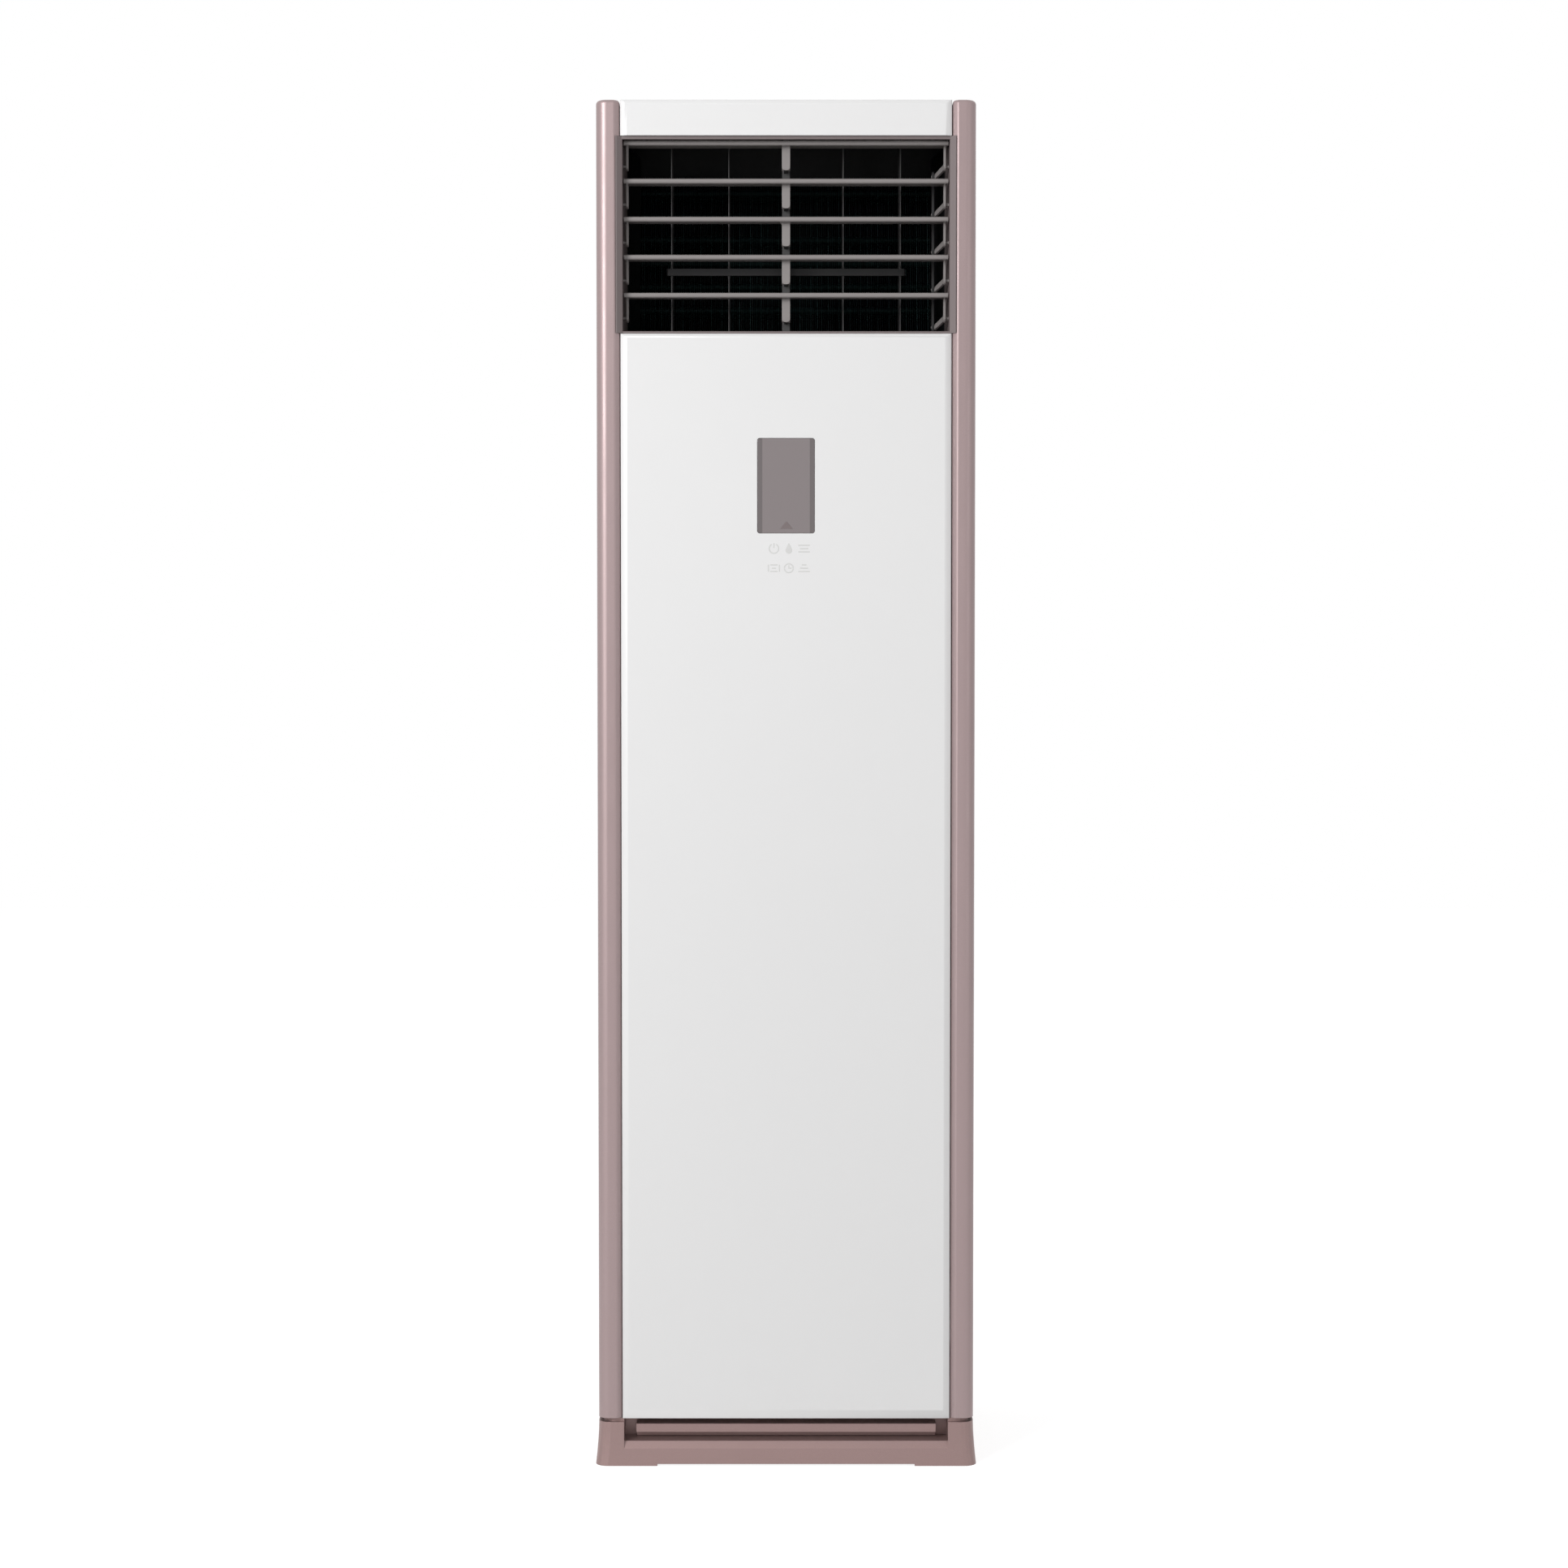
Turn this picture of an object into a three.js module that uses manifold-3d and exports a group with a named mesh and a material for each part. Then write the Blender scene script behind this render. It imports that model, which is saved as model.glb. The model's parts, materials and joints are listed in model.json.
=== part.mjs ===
// A floor standing air conditioner: cabinet, swinging air outlet, evaporator, centrifugal fan and controls.
// Millimetres, +Z up, the front faces -Y, +X is on the right of someone looking at the front.
// The origin lies on the floor, in the middle of the cabinet's footprint.
import * as THREE from "three";
import { mergeVertices } from "three/addons/utils/BufferGeometryUtils.js";
import Module from "manifold-3d";

const wasm = await Module();
wasm.setup();

// ---------------------------------------------------------------- driving dimensions

// Whole cabinet
const HEIGHT = 1750;
const WIDTH = 484; // across the two columns
const DEPTH = 311; // column face to rear panel
const SEAT = 0.3; // clearance between two pieces that touch
const SLIP = 0.4; // clearance at each side of a piece that slides between two others
const ROUND = 7; // sides of a small round pin or bore
const GRID = 1024; // steps to the millimetre; every corner lies on one, so flush faces do meet
const SHEET = 1.2; // steel sheet
const FLANGE = 14; // folded edge of a steel sheet

// Base
const BASE_HEIGHT = 56;
const BASE_FLARE = 4; // how far the foot of the base stands out
const BASE_CORNER = 16;
const GROOVE_HEIGHT = 5; // shadow groove between base and cabinet
const GROOVE_DEPTH = 6;
const TOE_SILL = 31; // height of the front wall below the toe recess
const TOE_DEPTH = 40;
const TOE_BEVEL = 9;
const TOE_INSET = 2; // the recess is this much narrower than the front panel at each end
const RAIL_BOTTOM = 39.5;
const RAIL_HEIGHT = 11;
const RAIL_SETBACK = 15;
const RAIL_THICKNESS = 16;
const RAIL_FOOT = 4;
const RAIL_END_GAP = 15;
const RUNNER_WIDTH = 76;
const RUNNER_LIFT = 2.5;
const POCKET_ROWS = 2;
const POCKET_RIB = 4;
const POCKET_WALL = 10;
const POCKET_ROOF = 5;
const PAN_FRONT = -108;
const PAN_SIDE_GAP = 6;
const SWAGE_SPACING = 130; // between the upright swages of the rear panel
const SWAGE_HALF = 15;
const SWAGE_SLOPE = 6;
const SWAGE_DEPTH = 5;
const PIPE_WAY = { inward: 20, width: 72, bottom: 90, top: 180, corner: 12 };
const COVER_LAP = 2.5; // top cover back from the upper front panel
const COVER_CLIP = { width: 3, length: 30, drop: 12, front: -40, rear: 110 };

// Columns
const COLUMN_WIDTH = 30.2;
const COLUMN_DEPTH = 69.5;
const COLUMN_WALL = 2.5;
const COLUMN_CORNER = 14;
const COLUMN_CHAMFER_X = 6.5;
const COLUMN_CHAMFER_Y = 5.5;
const EDGE_RADIUS = 5; // rounded top edge of the front pieces

// Front panels
const PANEL_GAP = 0.8;
const PANEL_WALL = 4;
const PANEL_DEPTH = 18;
const PANEL_RIM = 6;
const PANEL_BEVEL = 8;
const PANEL_BEVEL_DEPTH = 4;
const PANEL_FOOT_BEVEL = 11;
const PANEL_HEAD_BEVEL = 5;
const PANEL_BOTTOM = 60;
const PANEL_RIB = 3;
const PANEL_RIBS = 6;
const UPPER_PANEL_HEIGHT = 45.5;
const OPENING_HEIGHT = 250; // air outlet between the two front panels

// Display
const WINDOW_WIDTH = 73;
const WINDOW_HEIGHT = 120.6;
const WINDOW_DROP = 253.9; // top of the main front panel down to the foot of the window
const WINDOW_CORNER = 3;
const WINDOW_THICKNESS = 3.7;
const HOUSING_MARGIN = 6.5;
const HOUSING_DEPTH = 12;
const HOUSING_WALL = 2;
const HOUSING_CAVITY = 4;

// Air outlet
const CHEEK = 2.6; // wall of the outlet frame at each side
const OUTLET_REAR = -15;
const FRAME_RISE = 12; // top of the outlet frame above the opening
const FRAME_TOP_WALL = 3.3;
const FRAME_BOTTOM_WALL = 2.5;
const LIP_DROP = 4.3;
const LIP_WALL = 2.5;
const CHEEK_SPLAY = 5.7; // how far the front of a cheek spreads over the column

// Louvres
const LOUVER_COUNT = 5;
const LOUVER_MARGIN = 8.5; // of the opening's height that the louvres leave free
const LOUVER_DROP = 3.5; // top face of the highest louvre below the opening's head
const PIVOT_Y = -119;
const PIVOT_DROP = 31; // top face of a louvre down to its pivot
const LOUVER_FRONT = 18.5; // pivot to front edge
const LOUVER_REAR = 27; // pivot to rear edge
const LOUVER_LIP = 6.5; // height of the rolled front edge
const LOUVER_PLATE = 1.6;
const LOUVER_CAMBER = 1.8; // how far the rear edge lies below the front
const LOUVER_END_GAP = 1.2;
const EAR_THICKNESS = 3;
const EAR_INSET = 2.5; // end ear in from the end of the plate
const EAR_RADIUS = 5.5;
const EAR_TOP = 9;
const PIN_RADIUS = 2.2;
const PIN_CLEARANCE = 0.4;
const PIN_END = 0.4; // end of a pivot pin in from the far face of its bore
const SHAFT_GAP = 0.4; // end of a motor's shaft to the end of the pin that it turns
const TONGUE_HALF = 2.6;
const TONGUE_RADIUS = 4;
const CLIP_GAP = 0.5;
const CLIP_CHEEK = 2.2;
const CLIP_WEB = 1.9;
const POST_FRONT = -90;
const POST_DEPTH = 5;
const POST_HALF = 5;
const CRANK_BACK = 33; // crank pin behind the louvre's pivot
const CRANK_DOWN = 8;
const CRANK_INWARD = 10;
const CRANK_PIN = 1.8;
const CRANK_ROOT = 3.5; // half height of the crank arm at the ear
const CRANK_TIP = 3;
const LINK_WIDTH = 8;
const LINK_THICKNESS = 3.2;
const LINK_END = 7;

// Upright vanes
const VANE_COUNT = 5;
const VANE_PITCH = 74;
const VANE_Y = -50;
const VANE_CHORD = 60;
const VANE_THICKNESS = 2.4;
const VANE_EDGE = 1.2;
const VANE_GAP = 2.2;
const VANE_BOSS = 3.4;
const VANE_BOSS_HEIGHT = 7;
const VANE_LINK_RISE = 86.1; // link above the underside of the outlet frame
const VANE_LINK_HEIGHT = 9;
const VANE_LINK_OFFSET = 24; // link pin in front of the vane's pivot
const VANE_PIN = 1.6;
const NOTCH_HEIGHT = 14;
const NOTCH_BACK = 8;
const NOTCH_HALF = 3;

// Small step motors
const STEP_RADIUS = 14;
const STEP_LENGTH = 19;
const STEP_EAR = 21;
const STEP_EAR_WIDTH = 8;
const STEP_EAR_THICKNESS = 1.2;
const STEP_SHAFT = 2;
const STEP_EAR_CORNER = 3.5;

// Air inlets and filters
const INLET_FRONT = -48;
const INLET_REAR = 122;
const INLET_BOTTOM = 112;
const INLET_TOP = 556;
const INLET_FLANGE = 8;
const INLET_FLANGE_THICKNESS = 1.3;
const INLET_FRAME = 4;
const SLAT_PITCH = 36;
const SLAT_THICKNESS = 2;
const SLAT_RISE = 11;
const SLAT_DEPTH = 5;
const STAY_HALF = 1.5; // half the thickness of the upright stay behind the slats
const RUNNER_LIP = 8;
const RUNNER_WALL = 2.4;
const FILTER_THICKNESS = 8;
const FILTER_INWARD = 13.3; // filter to the inside of the side panel
const FILTER_BORDER = 10;
const FILTER_RIB = 4;
const FILTER_NET = 0.8;
const FILTER_BARS = 3;
const FILTER_SLIP = 0.5;

// Evaporator
const COIL_BOTTOM = 905;
const COIL_Y = -40;
const COIL_HEADROOM = 50; // cabinet top down to the coil's length measured upright
const COIL_THICKNESS = 44;
const COIL_END_ROOM = 46.3; // each end of the fin pack to the outside of the cabinet
const COIL_TILT = 11; // degrees from upright
const FIN_COUNT = 24;
const FIN_THICKNESS = 3;
const FIN_DEPTH = 18;
const BEND_COUNT = 6;
const BEND_FIRST = 105; // height of the lowest bend on the coil
const BEND_LAST = 40; // highest bend down from the coil's top
const BEND_RISE = 17;
const TUBE_RADIUS = 4.8;
const TUBE_SPAN = 25.4;
const TUBE_ROW = 22;
const TUBE_SEAT = 0.6; // how far a bend is set into its tube sheet
const GAS_PIPE_RADIUS = 8;
const LIQUID_PIPE_RADIUS = 4.8;

// Condensate pan and partition
const TRAY_BOTTOM = 868;
const TRAY_HEIGHT = 32;
const TRAY_WALL = 3;
const TRAY_FLOOR = 5;
const TRAY_FRONT = -80;
const TRAY_REAR = 10;
const DRAIN_RADIUS = 8;
const DRAIN_INWARD = 46; // drain to the outside of the cabinet
const DRAIN_SETBACK = 14; // drain spout in front of the pan's rear edge
const SPOUT_LENGTH = 18;
const SPOUT_WALL = 2;
const PARTITION_Z = 566;
const PARTITION_FRONT = -80;
const PIPE_NOTCH = { width: 66, front: 80 };
const DRAIN_NOTCH = { width: 44, front: 130 };

// Fan
const FAN_Z = 330;
const WHEEL_MARGIN = 102; // wheel to the outside of the cabinet
const BLADE_DEPTH = 28;
const BLADE_INSET = 1.5;
const WHEEL_FRONT = 12;
const WHEEL_REAR = 114;
const BLADE_COUNT = 18;
const BLADE_THICKNESS = 2;
const BLADE_SWEEP = 20; // degrees that the outer edge leads
const WHEEL_RING = 3;
const RING_WIDTH = 20;
const WHEEL_SKIN = 3.5;
const DOME_FRONT = 20; // dome of the wheel in front of the motor
const DOME_MARGIN = 16; // dome round the motor
const DOME_CURVE = 10;
const HUB_STEP = 10;
const VOLUTE_FRONT = 0;
const VOLUTE_REAR = 128;
const VOLUTE_SPLIT = 64;
const VOLUTE_WALL = 2.5;
const TONGUE_ANGLE = 45;
const TONGUE_GAP = 12; // wheel to the scroll at its tongue
const SCROLL_GROWTH = 48; // how far the scroll opens from the tongue to the outlet
const BELL_INSIDE = 6; // throat of the bell mouth inside the blades
const BELL_WIDTH = 22;
const BELL_CURVE = 12;
const MOTOR_RADIUS = 62;
const MOTOR_FRONT = 62;
const MOTOR_HOLE = 70;
const MOTOR_BOSS = 22;
const MOTOR_STEP = 5;
const MOTOR_SHOULDER = 6;
const SHAFT_REAR = 20; // shaft's end in front of the motor's back
const BRACKET_HALF = 95;
const BRACKET_THICKNESS = 2;
const BRACKET_CORNER = 18;
const BRACKET_WINDOW = { inner: 46, outer: 74, turn: 46 }; // turn in degrees
const SHAFT_RADIUS = 6;
const SHAFT_FRONT = 14;
const HUB_RADIUS = 16;
const VOLUTE_LEG = 16;
const VOLUTE_LEG_X = 110;
const VOLUTE_LEG_DEPTH = 30;
const NUT = { radius: 10, front: 2, rear: 10 };

// Controls
const BOX_BOTTOM = 600;
const BOX_HEIGHT = 250;
const BOX_FRONT = -128;
const BOX_DEPTH = 42;
const STANDOFF = 8;
const POST_RADIUS = 3; // posts that carry the circuit board
const BOARD = { x: -85, rise: 135, width: 190, height: 140, thickness: 1.6, post: 8 };
const CHIPS = [
  { x: -10, z: 5, width: 34, height: 16, rise: 4 },
  { x: 45, z: -10, width: 22, height: 22, rise: 3 },
  { x: -65, z: 40, width: 28, height: 34, rise: 12 },
];
const CANS = { x: -70, z: -45, pitch: 16, count: 3, radius: 6, rise: 18 };
const RELAYS = { x: 30, z: 48, pitch: 15, count: 4, width: 11, height: 20, rise: 15 };
const CABLE_WAY = { left: 60, right: 150, rise: 40, height: 20, corner: 8 };
const TRANSFORMER = { x: 85, rise: 90, half: 28, height: 48, front: 22, rear: 4 };
const WINDING = { half: 17, height: 38, front: 34, corner: 4 };
const LUG = { half: 36, height: 20, thickness: 5 };
const CAPACITOR = { x: 160, rise: 40, length: 60, radius: 15, tab: 3, tabHeight: 6, tabDepth: 8 };
const TERMINALS = { x: 60, drop: 34, height: 26, depth: 16, pitch: 16, ways: 6 };
const WELL = { wall: 2, rim: 6, floor: 6 };
const BAFFLE_Y = -112;
const BAFFLE_THICKNESS = 4;
const BAFFLE_FOOT = 5; // above the condensate pan
const BAFFLE_HEAD = 6; // below the outlet frame

// ---------------------------------------------------------------- derived places

const FRONT = -(DEPTH + BASE_FLARE) / 2 + BASE_FLARE;
const REAR = (DEPTH + BASE_FLARE) / 2;
const HALF = WIDTH / 2;
const COLUMN_INNER = HALF - COLUMN_WIDTH;
const PANEL_HALF = COLUMN_INNER - PANEL_GAP;
const COLUMN_REAR = FRONT + COLUMN_DEPTH;
const CABINET_BOTTOM = BASE_HEIGHT + GROOVE_HEIGHT + SEAT;
const SHELL_TOP = HEIGHT - EDGE_RADIUS - SEAT;
const UPPER_PANEL_BOTTOM = HEIGHT - UPPER_PANEL_HEIGHT;
const PANEL_TOP = UPPER_PANEL_BOTTOM - OPENING_HEIGHT;
const WINDOW_BOTTOM = PANEL_TOP - WINDOW_DROP;
const FRAME_TOP = UPPER_PANEL_BOTTOM + FRAME_RISE;
const LIP_BOTTOM = UPPER_PANEL_BOTTOM - LIP_DROP;
const LOUVER_TOP = UPPER_PANEL_BOTTOM - LOUVER_DROP;
const LOUVER_PITCH = (OPENING_HEIGHT - LOUVER_MARGIN) / LOUVER_COUNT;
const OUTLET_HALF = PANEL_HALF - CHEEK;
const FRAME_BOTTOM = PANEL_TOP + SLIP;
const VANE_FLOOR = FRAME_BOTTOM + FRAME_BOTTOM_WALL;
const VANE_CEILING = FRAME_TOP - FRAME_TOP_WALL;
const VANE_LINK_Z = FRAME_BOTTOM + VANE_LINK_RISE;
const LOUVER_HALF = OUTLET_HALF - LOUVER_END_GAP;
const PIVOT_X = LOUVER_HALF - EAR_INSET;
const FILTER_X = HALF - SHEET - FILTER_INWARD; // inner face of the filter
const COIL_ANGLE = THREE.MathUtils.degToRad(COIL_TILT);
const COIL_LENGTH = HEIGHT - COIL_HEADROOM - COIL_BOTTOM;
const COIL_HALF_WIDTH = HALF - COIL_END_ROOM;
const SIDE_INNER = HALF - SHEET;
const REAR_PANEL_FRONT = REAR - SHEET;
const SWAGE_FRONT = REAR_PANEL_FRONT - SWAGE_DEPTH; // how far the rear panel reaches in
const DRAIN_X = DRAIN_INWARD - HALF;
const WHEEL_RADIUS = HALF - WHEEL_MARGIN;
const WHEEL_BORE = WHEEL_RADIUS - BLADE_DEPTH; // inner radius of the blades
const BELL_THROAT = WHEEL_BORE - BELL_INSIDE;
const BELL_MOUTH = BELL_THROAT + BELL_WIDTH;
const BOX_REAR = BOX_FRONT + BOX_DEPTH;
const BOX_BACK = BOX_REAR - SHEET - SEAT; // what stands on the back of the control box starts here

const pivotZ = (row) => LOUVER_TOP - PIVOT_DROP - row * LOUVER_PITCH;
const vaneX = (column) => (column - (VANE_COUNT - 1) / 2) * VANE_PITCH;

// ---------------------------------------------------------------- solids from three.js geometry

/** A closed solid from a closed geometry, turned the right way out. */
function solid(geometry) {
  const bare = geometry.index ? geometry.toNonIndexed() : geometry.clone();
  bare.deleteAttribute("normal");
  bare.deleteAttribute("uv");
  const { array } = bare.getAttribute("position");
  array.forEach((value, i) => (array[i] = Math.round(value * GRID) / GRID));
  const merged = mergeVertices(bare, 1e-4);
  const index = merged.index.array;
  const triangles = [];
  for (let i = 0; i < index.length; i += 3) {
    const [a, b, c] = [index[i], index[i + 1], index[i + 2]];
    if (a !== b && b !== c && c !== a) triangles.push(a, b, c);
  }
  const build = (list) =>
    new wasm.Manifold(
      new wasm.Mesh({
        numProp: 3,
        vertProperties: merged.attributes.position.array,
        triVerts: new Uint32Array(list),
      }),
    );
  const made = build(triangles);
  return made.volume() < 0 ? build(triangles.reverse()) : made;
}

const join = (...pieces) => pieces.flat().reduce((a, b) => a.add(b));
const cut = (body, ...tools) => tools.flat().reduce((a, b) => a.subtract(b), body);

/** A span on the right, or its mirror image on the left. */
const sided = (side, a, b) => (side > 0 ? [a, b] : [-b, -a]);

const rect = (u0, u1, v0, v1) => [
  [u0, v0],
  [u1, v0],
  [u1, v1],
  [u0, v1],
];

/** Points of an arc about (u, v), angles in degrees. */
function arc(u, v, radius, from, to, steps) {
  return Array.from({ length: steps + 1 }, (_, i) => {
    const angle = THREE.MathUtils.degToRad(from + ((to - from) * i) / steps);
    return [u + radius * Math.cos(angle), v + radius * Math.sin(angle)];
  });
}

const disc = (radius, steps = 24, u = 0, v = 0) => arc(u, v, radius, 0, 360, steps).slice(0, -1);

/** A rectangle with round corners. */
function roundRect(u0, u1, v0, v1, radius, steps = 4) {
  return [
    ...arc(u1 - radius, v1 - radius, radius, 0, 90, steps),
    ...arc(u0 + radius, v1 - radius, radius, 90, 180, steps),
    ...arc(u0 + radius, v0 + radius, radius, 180, 270, steps),
    ...arc(u1 - radius, v0 + radius, radius, 270, 360, steps),
  ];
}

// An outline's (u, v) and the extrusion's w, seen along each axis of the cabinet.
const ALONG = {
  x: new THREE.Matrix4().set(0, 0, 1, 0, 1, 0, 0, 0, 0, 1, 0, 0, 0, 0, 0, 1), // (y, z) along x
  y: new THREE.Matrix4().set(1, 0, 0, 0, 0, 0, -1, 0, 0, 1, 0, 0, 0, 0, 0, 1), // (x, z) along y
  z: new THREE.Matrix4(), // (x, y) along z
};

const toVectors = (outline) => outline.map(([u, v]) => new THREE.Vector2(u, v));

/** An outline with holes, extruded along an axis. */
function prism(axis, outline, from, to, holes = []) {
  const shape = new THREE.Shape(toVectors(outline));
  shape.holes = holes.map((hole) => new THREE.Path(toVectors(hole)));
  const geometry = new THREE.ExtrudeGeometry(shape, { depth: to - from, bevelEnabled: false });
  geometry.translate(0, 0, axis === "y" ? -to : from);
  return solid(geometry.applyMatrix4(ALONG[axis]));
}

const rod = (axis, radius, from, to, u = 0, v = 0, steps = 16) =>
  prism(axis, disc(radius, steps, u, v), from, to);

/** A box between two corners. */
function box(x0, x1, y0, y1, z0, z1) {
  const geometry = new THREE.BoxGeometry(x1 - x0, y1 - y0, z1 - z0);
  return solid(geometry.translate((x0 + x1) / 2, (y0 + y1) / 2, (z0 + z1) / 2));
}

/** A closed profile of [radius, height] turned about the y axis. */
function revolve(profile, steps = 32) {
  const points = [...profile, profile[0]].map(([r, h]) => new THREE.Vector2(r, h));
  return solid(new THREE.LatheGeometry(points, steps));
}

/** A skin through rings of equal count, closed at both ends. Each ring lies square to the axis. */
function loft(axis, rings) {
  const [u, v] = { x: [1, 2], y: [0, 2], z: [0, 1] }[axis];
  const flat = (ring) => ring.map((p) => new THREE.Vector2(p[u], p[v]));
  const clockwise = THREE.ShapeUtils.isClockWise(flat(rings[0]));
  const turned = clockwise ? rings.map((ring) => [...ring].reverse()) : rings;
  const count = turned[0].length;
  const last = (turned.length - 1) * count;
  const index = [];
  for (let start = 0; start < last; start += count)
    for (let i = 0; i < count; i++) {
      const a = start + i;
      const b = start + ((i + 1) % count);
      index.push(a, b, b + count, a, b + count, a + count);
    }
  for (const [a, b, c] of THREE.ShapeUtils.triangulateShape(flat(turned[0]), []))
    index.push(c, b, a, last + a, last + b, last + c);
  const geometry = new THREE.BufferGeometry();
  geometry.setAttribute("position", new THREE.Float32BufferAttribute(turned.flat(2), 3));
  geometry.setIndex(index);
  return solid(geometry);
}

/** An outline drawn in by a distance, corner by corner. The outline runs anticlockwise. */
function inset(outline, distance) {
  const points = toVectors(outline);
  return points.map((p, i) => {
    const before = points[(i + points.length - 1) % points.length];
    const after = points[(i + 1) % points.length];
    const d1 = p.clone().sub(before).normalize();
    const d2 = after.clone().sub(p).normalize();
    const n1 = new THREE.Vector2(-d1.y, d1.x);
    const n2 = new THREE.Vector2(-d2.y, d2.x);
    const scale = distance / (1 + n1.dot(n2));
    return [p.x + (n1.x + n2.x) * scale, p.y + (n1.y + n2.y) * scale];
  });
}

const level = (outline, z) => outline.map(([x, y]) => [x, y, z]);
const mirrored = (outline) => outline.map(([x, y]) => [-x, y]).reverse();

/** A prism along z whose upper edge is rounded. */
function roundTopped(outline, bottom, top, radius, steps = 3) {
  const rings = [level(outline, bottom)];
  for (let i = 0; i <= steps; i++) {
    const angle = (Math.PI / 2) * (i / steps);
    const drawn = inset(outline, radius * (1 - Math.cos(angle)));
    rings.push(level(drawn, top - radius + radius * Math.sin(angle)));
  }
  return loft("z", rings);
}

/** A round bar along a smooth curve through points. */
function tube(points, radius, steps, sides = 8) {
  const path = new THREE.CatmullRomCurve3(points.map((p) => new THREE.Vector3(...p)), false, "centripetal");
  const shape = new THREE.Shape(toVectors(disc(radius, sides)));
  return solid(new THREE.ExtrudeGeometry(shape, { steps, extrudePath: path, bevelEnabled: false }));
}

function geometryOf(body) {
  const { vertProperties, triVerts, numProp } = body.getMesh();
  const positions = [];
  for (let i = 0; i < vertProperties.length; i += numProp)
    positions.push(vertProperties[i], vertProperties[i + 1], vertProperties[i + 2]);
  const geometry = new THREE.BufferGeometry();
  geometry.setAttribute("position", new THREE.Float32BufferAttribute(positions, 3));
  geometry.setIndex([...triVerts]);
  geometry.computeVertexNormals();
  return geometry;
}

// ---------------------------------------------------------------- base

/** Footprint of the cabinet, grown outwards at the front and the sides. */
function footprint(out, rear = REAR) {
  const side = HALF + out;
  const front = FRONT - out;
  const corner = BASE_CORNER;
  return [
    [side, rear],
    [-side, rear],
    ...arc(-side + corner, front + corner, corner, 180, 270, 5),
    ...arc(side - corner, front + corner, corner, 270, 360, 5),
  ];
}

function basePlinth() {
  const steps = 4;
  const rings = Array.from({ length: steps + 1 }, (_, k) => {
    const flare = BASE_FLARE * (1 - k / steps) ** 1.6;
    return level(footprint(flare), (BASE_HEIGHT * k) / steps);
  });
  const neck = prism(
    "z",
    footprint(-GROOVE_DEPTH, REAR - GROOVE_DEPTH),
    BASE_HEIGHT - 1,
    BASE_HEIGHT + GROOVE_HEIGHT,
  );
  const recessHalf = PANEL_HALF - TOE_INSET;
  const above = BASE_HEIGHT + GROOVE_HEIGHT + 1;
  const outside = FRONT - BASE_FLARE - 1;
  const recess = box(-recessHalf, recessHalf, outside, FRONT + TOE_DEPTH, TOE_SILL, above);
  const bevel = prism(
    "x",
    [
      [FRONT - BASE_FLARE / 2, TOE_SILL - TOE_BEVEL],
      [FRONT + BASE_FLARE, TOE_SILL],
      [FRONT + BASE_FLARE, above],
      [outside, above],
      [outside, TOE_SILL - TOE_BEVEL],
    ],
    -recessHalf,
    recessHalf,
  );
  const seat = [FRONT - 1, FRONT + PANEL_DEPTH + SEAT, PANEL_BOTTOM - SEAT, above];
  const panelSeat = box(-COLUMN_INNER, COLUMN_INNER, ...seat);
  const middle = HALF - RUNNER_WIDTH;
  const lift = box(-middle, middle, outside, REAR + 1, -1, RUNNER_LIFT);
  const pockets = [];
  const pocketWidth = (2 * (middle - POCKET_WALL)) / POCKET_ROWS;
  const pocketDepth = (DEPTH - 2 * POCKET_WALL) / POCKET_ROWS;
  for (let i = 0; i < POCKET_ROWS; i++)
    for (let j = 0; j < POCKET_ROWS; j++) {
      const x = -middle + POCKET_WALL + i * pocketWidth;
      const y = FRONT + POCKET_WALL + j * pocketDepth;
      const rib = POCKET_RIB / 2;
      const roof = (y < FRONT + TOE_DEPTH ? TOE_SILL : BASE_HEIGHT) - POCKET_ROOF;
      pockets.push(box(x + rib, x + pocketWidth - rib, y + rib, y + pocketDepth - rib, -1, roof));
    }
  return cut(join(loft("z", rings), neck), recess, bevel, panelSeat, lift, pockets);
}

function toeRail() {
  const y = FRONT + RAIL_SETBACK;
  const top = RAIL_BOTTOM + RAIL_HEIGHT;
  const outline = [
    [y, RAIL_BOTTOM],
    [y + RAIL_THICKNESS, RAIL_BOTTOM],
    [y + RAIL_THICKNESS, TOE_SILL + SEAT],
    [y + RAIL_THICKNESS + RAIL_FOOT, TOE_SILL + SEAT],
    [y + RAIL_THICKNESS + RAIL_FOOT, top],
    [y, top],
  ];
  const half = PANEL_HALF - TOE_INSET - RAIL_END_GAP;
  return prism("x", outline, -half, half);
}

function basePan() {
  const [front, rear] = [PAN_FRONT, SWAGE_FRONT - SEAT];
  const [floor, rim] = [CABINET_BOTTOM, CABINET_BOTTOM + FLANGE];
  const outline = [
    [front, floor],
    [rear, floor],
    [rear, rim],
    [rear - SHEET, rim],
    [rear - SHEET, floor + SHEET],
    [front + SHEET, floor + SHEET],
    [front + SHEET, rim],
    [front, rim],
  ];
  return prism("x", outline, -COLUMN_INNER + PAN_SIDE_GAP, COLUMN_INNER - PAN_SIDE_GAP);
}

// ---------------------------------------------------------------- cabinet

function columnOutline() {
  return [
    [COLUMN_INNER, COLUMN_REAR],
    [COLUMN_INNER, FRONT + COLUMN_CHAMFER_Y],
    [COLUMN_INNER + COLUMN_CHAMFER_X, FRONT],
    ...arc(HALF - COLUMN_CORNER, FRONT + COLUMN_CORNER, COLUMN_CORNER, 270, 360, 5),
    [HALF, COLUMN_REAR],
  ];
}

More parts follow.
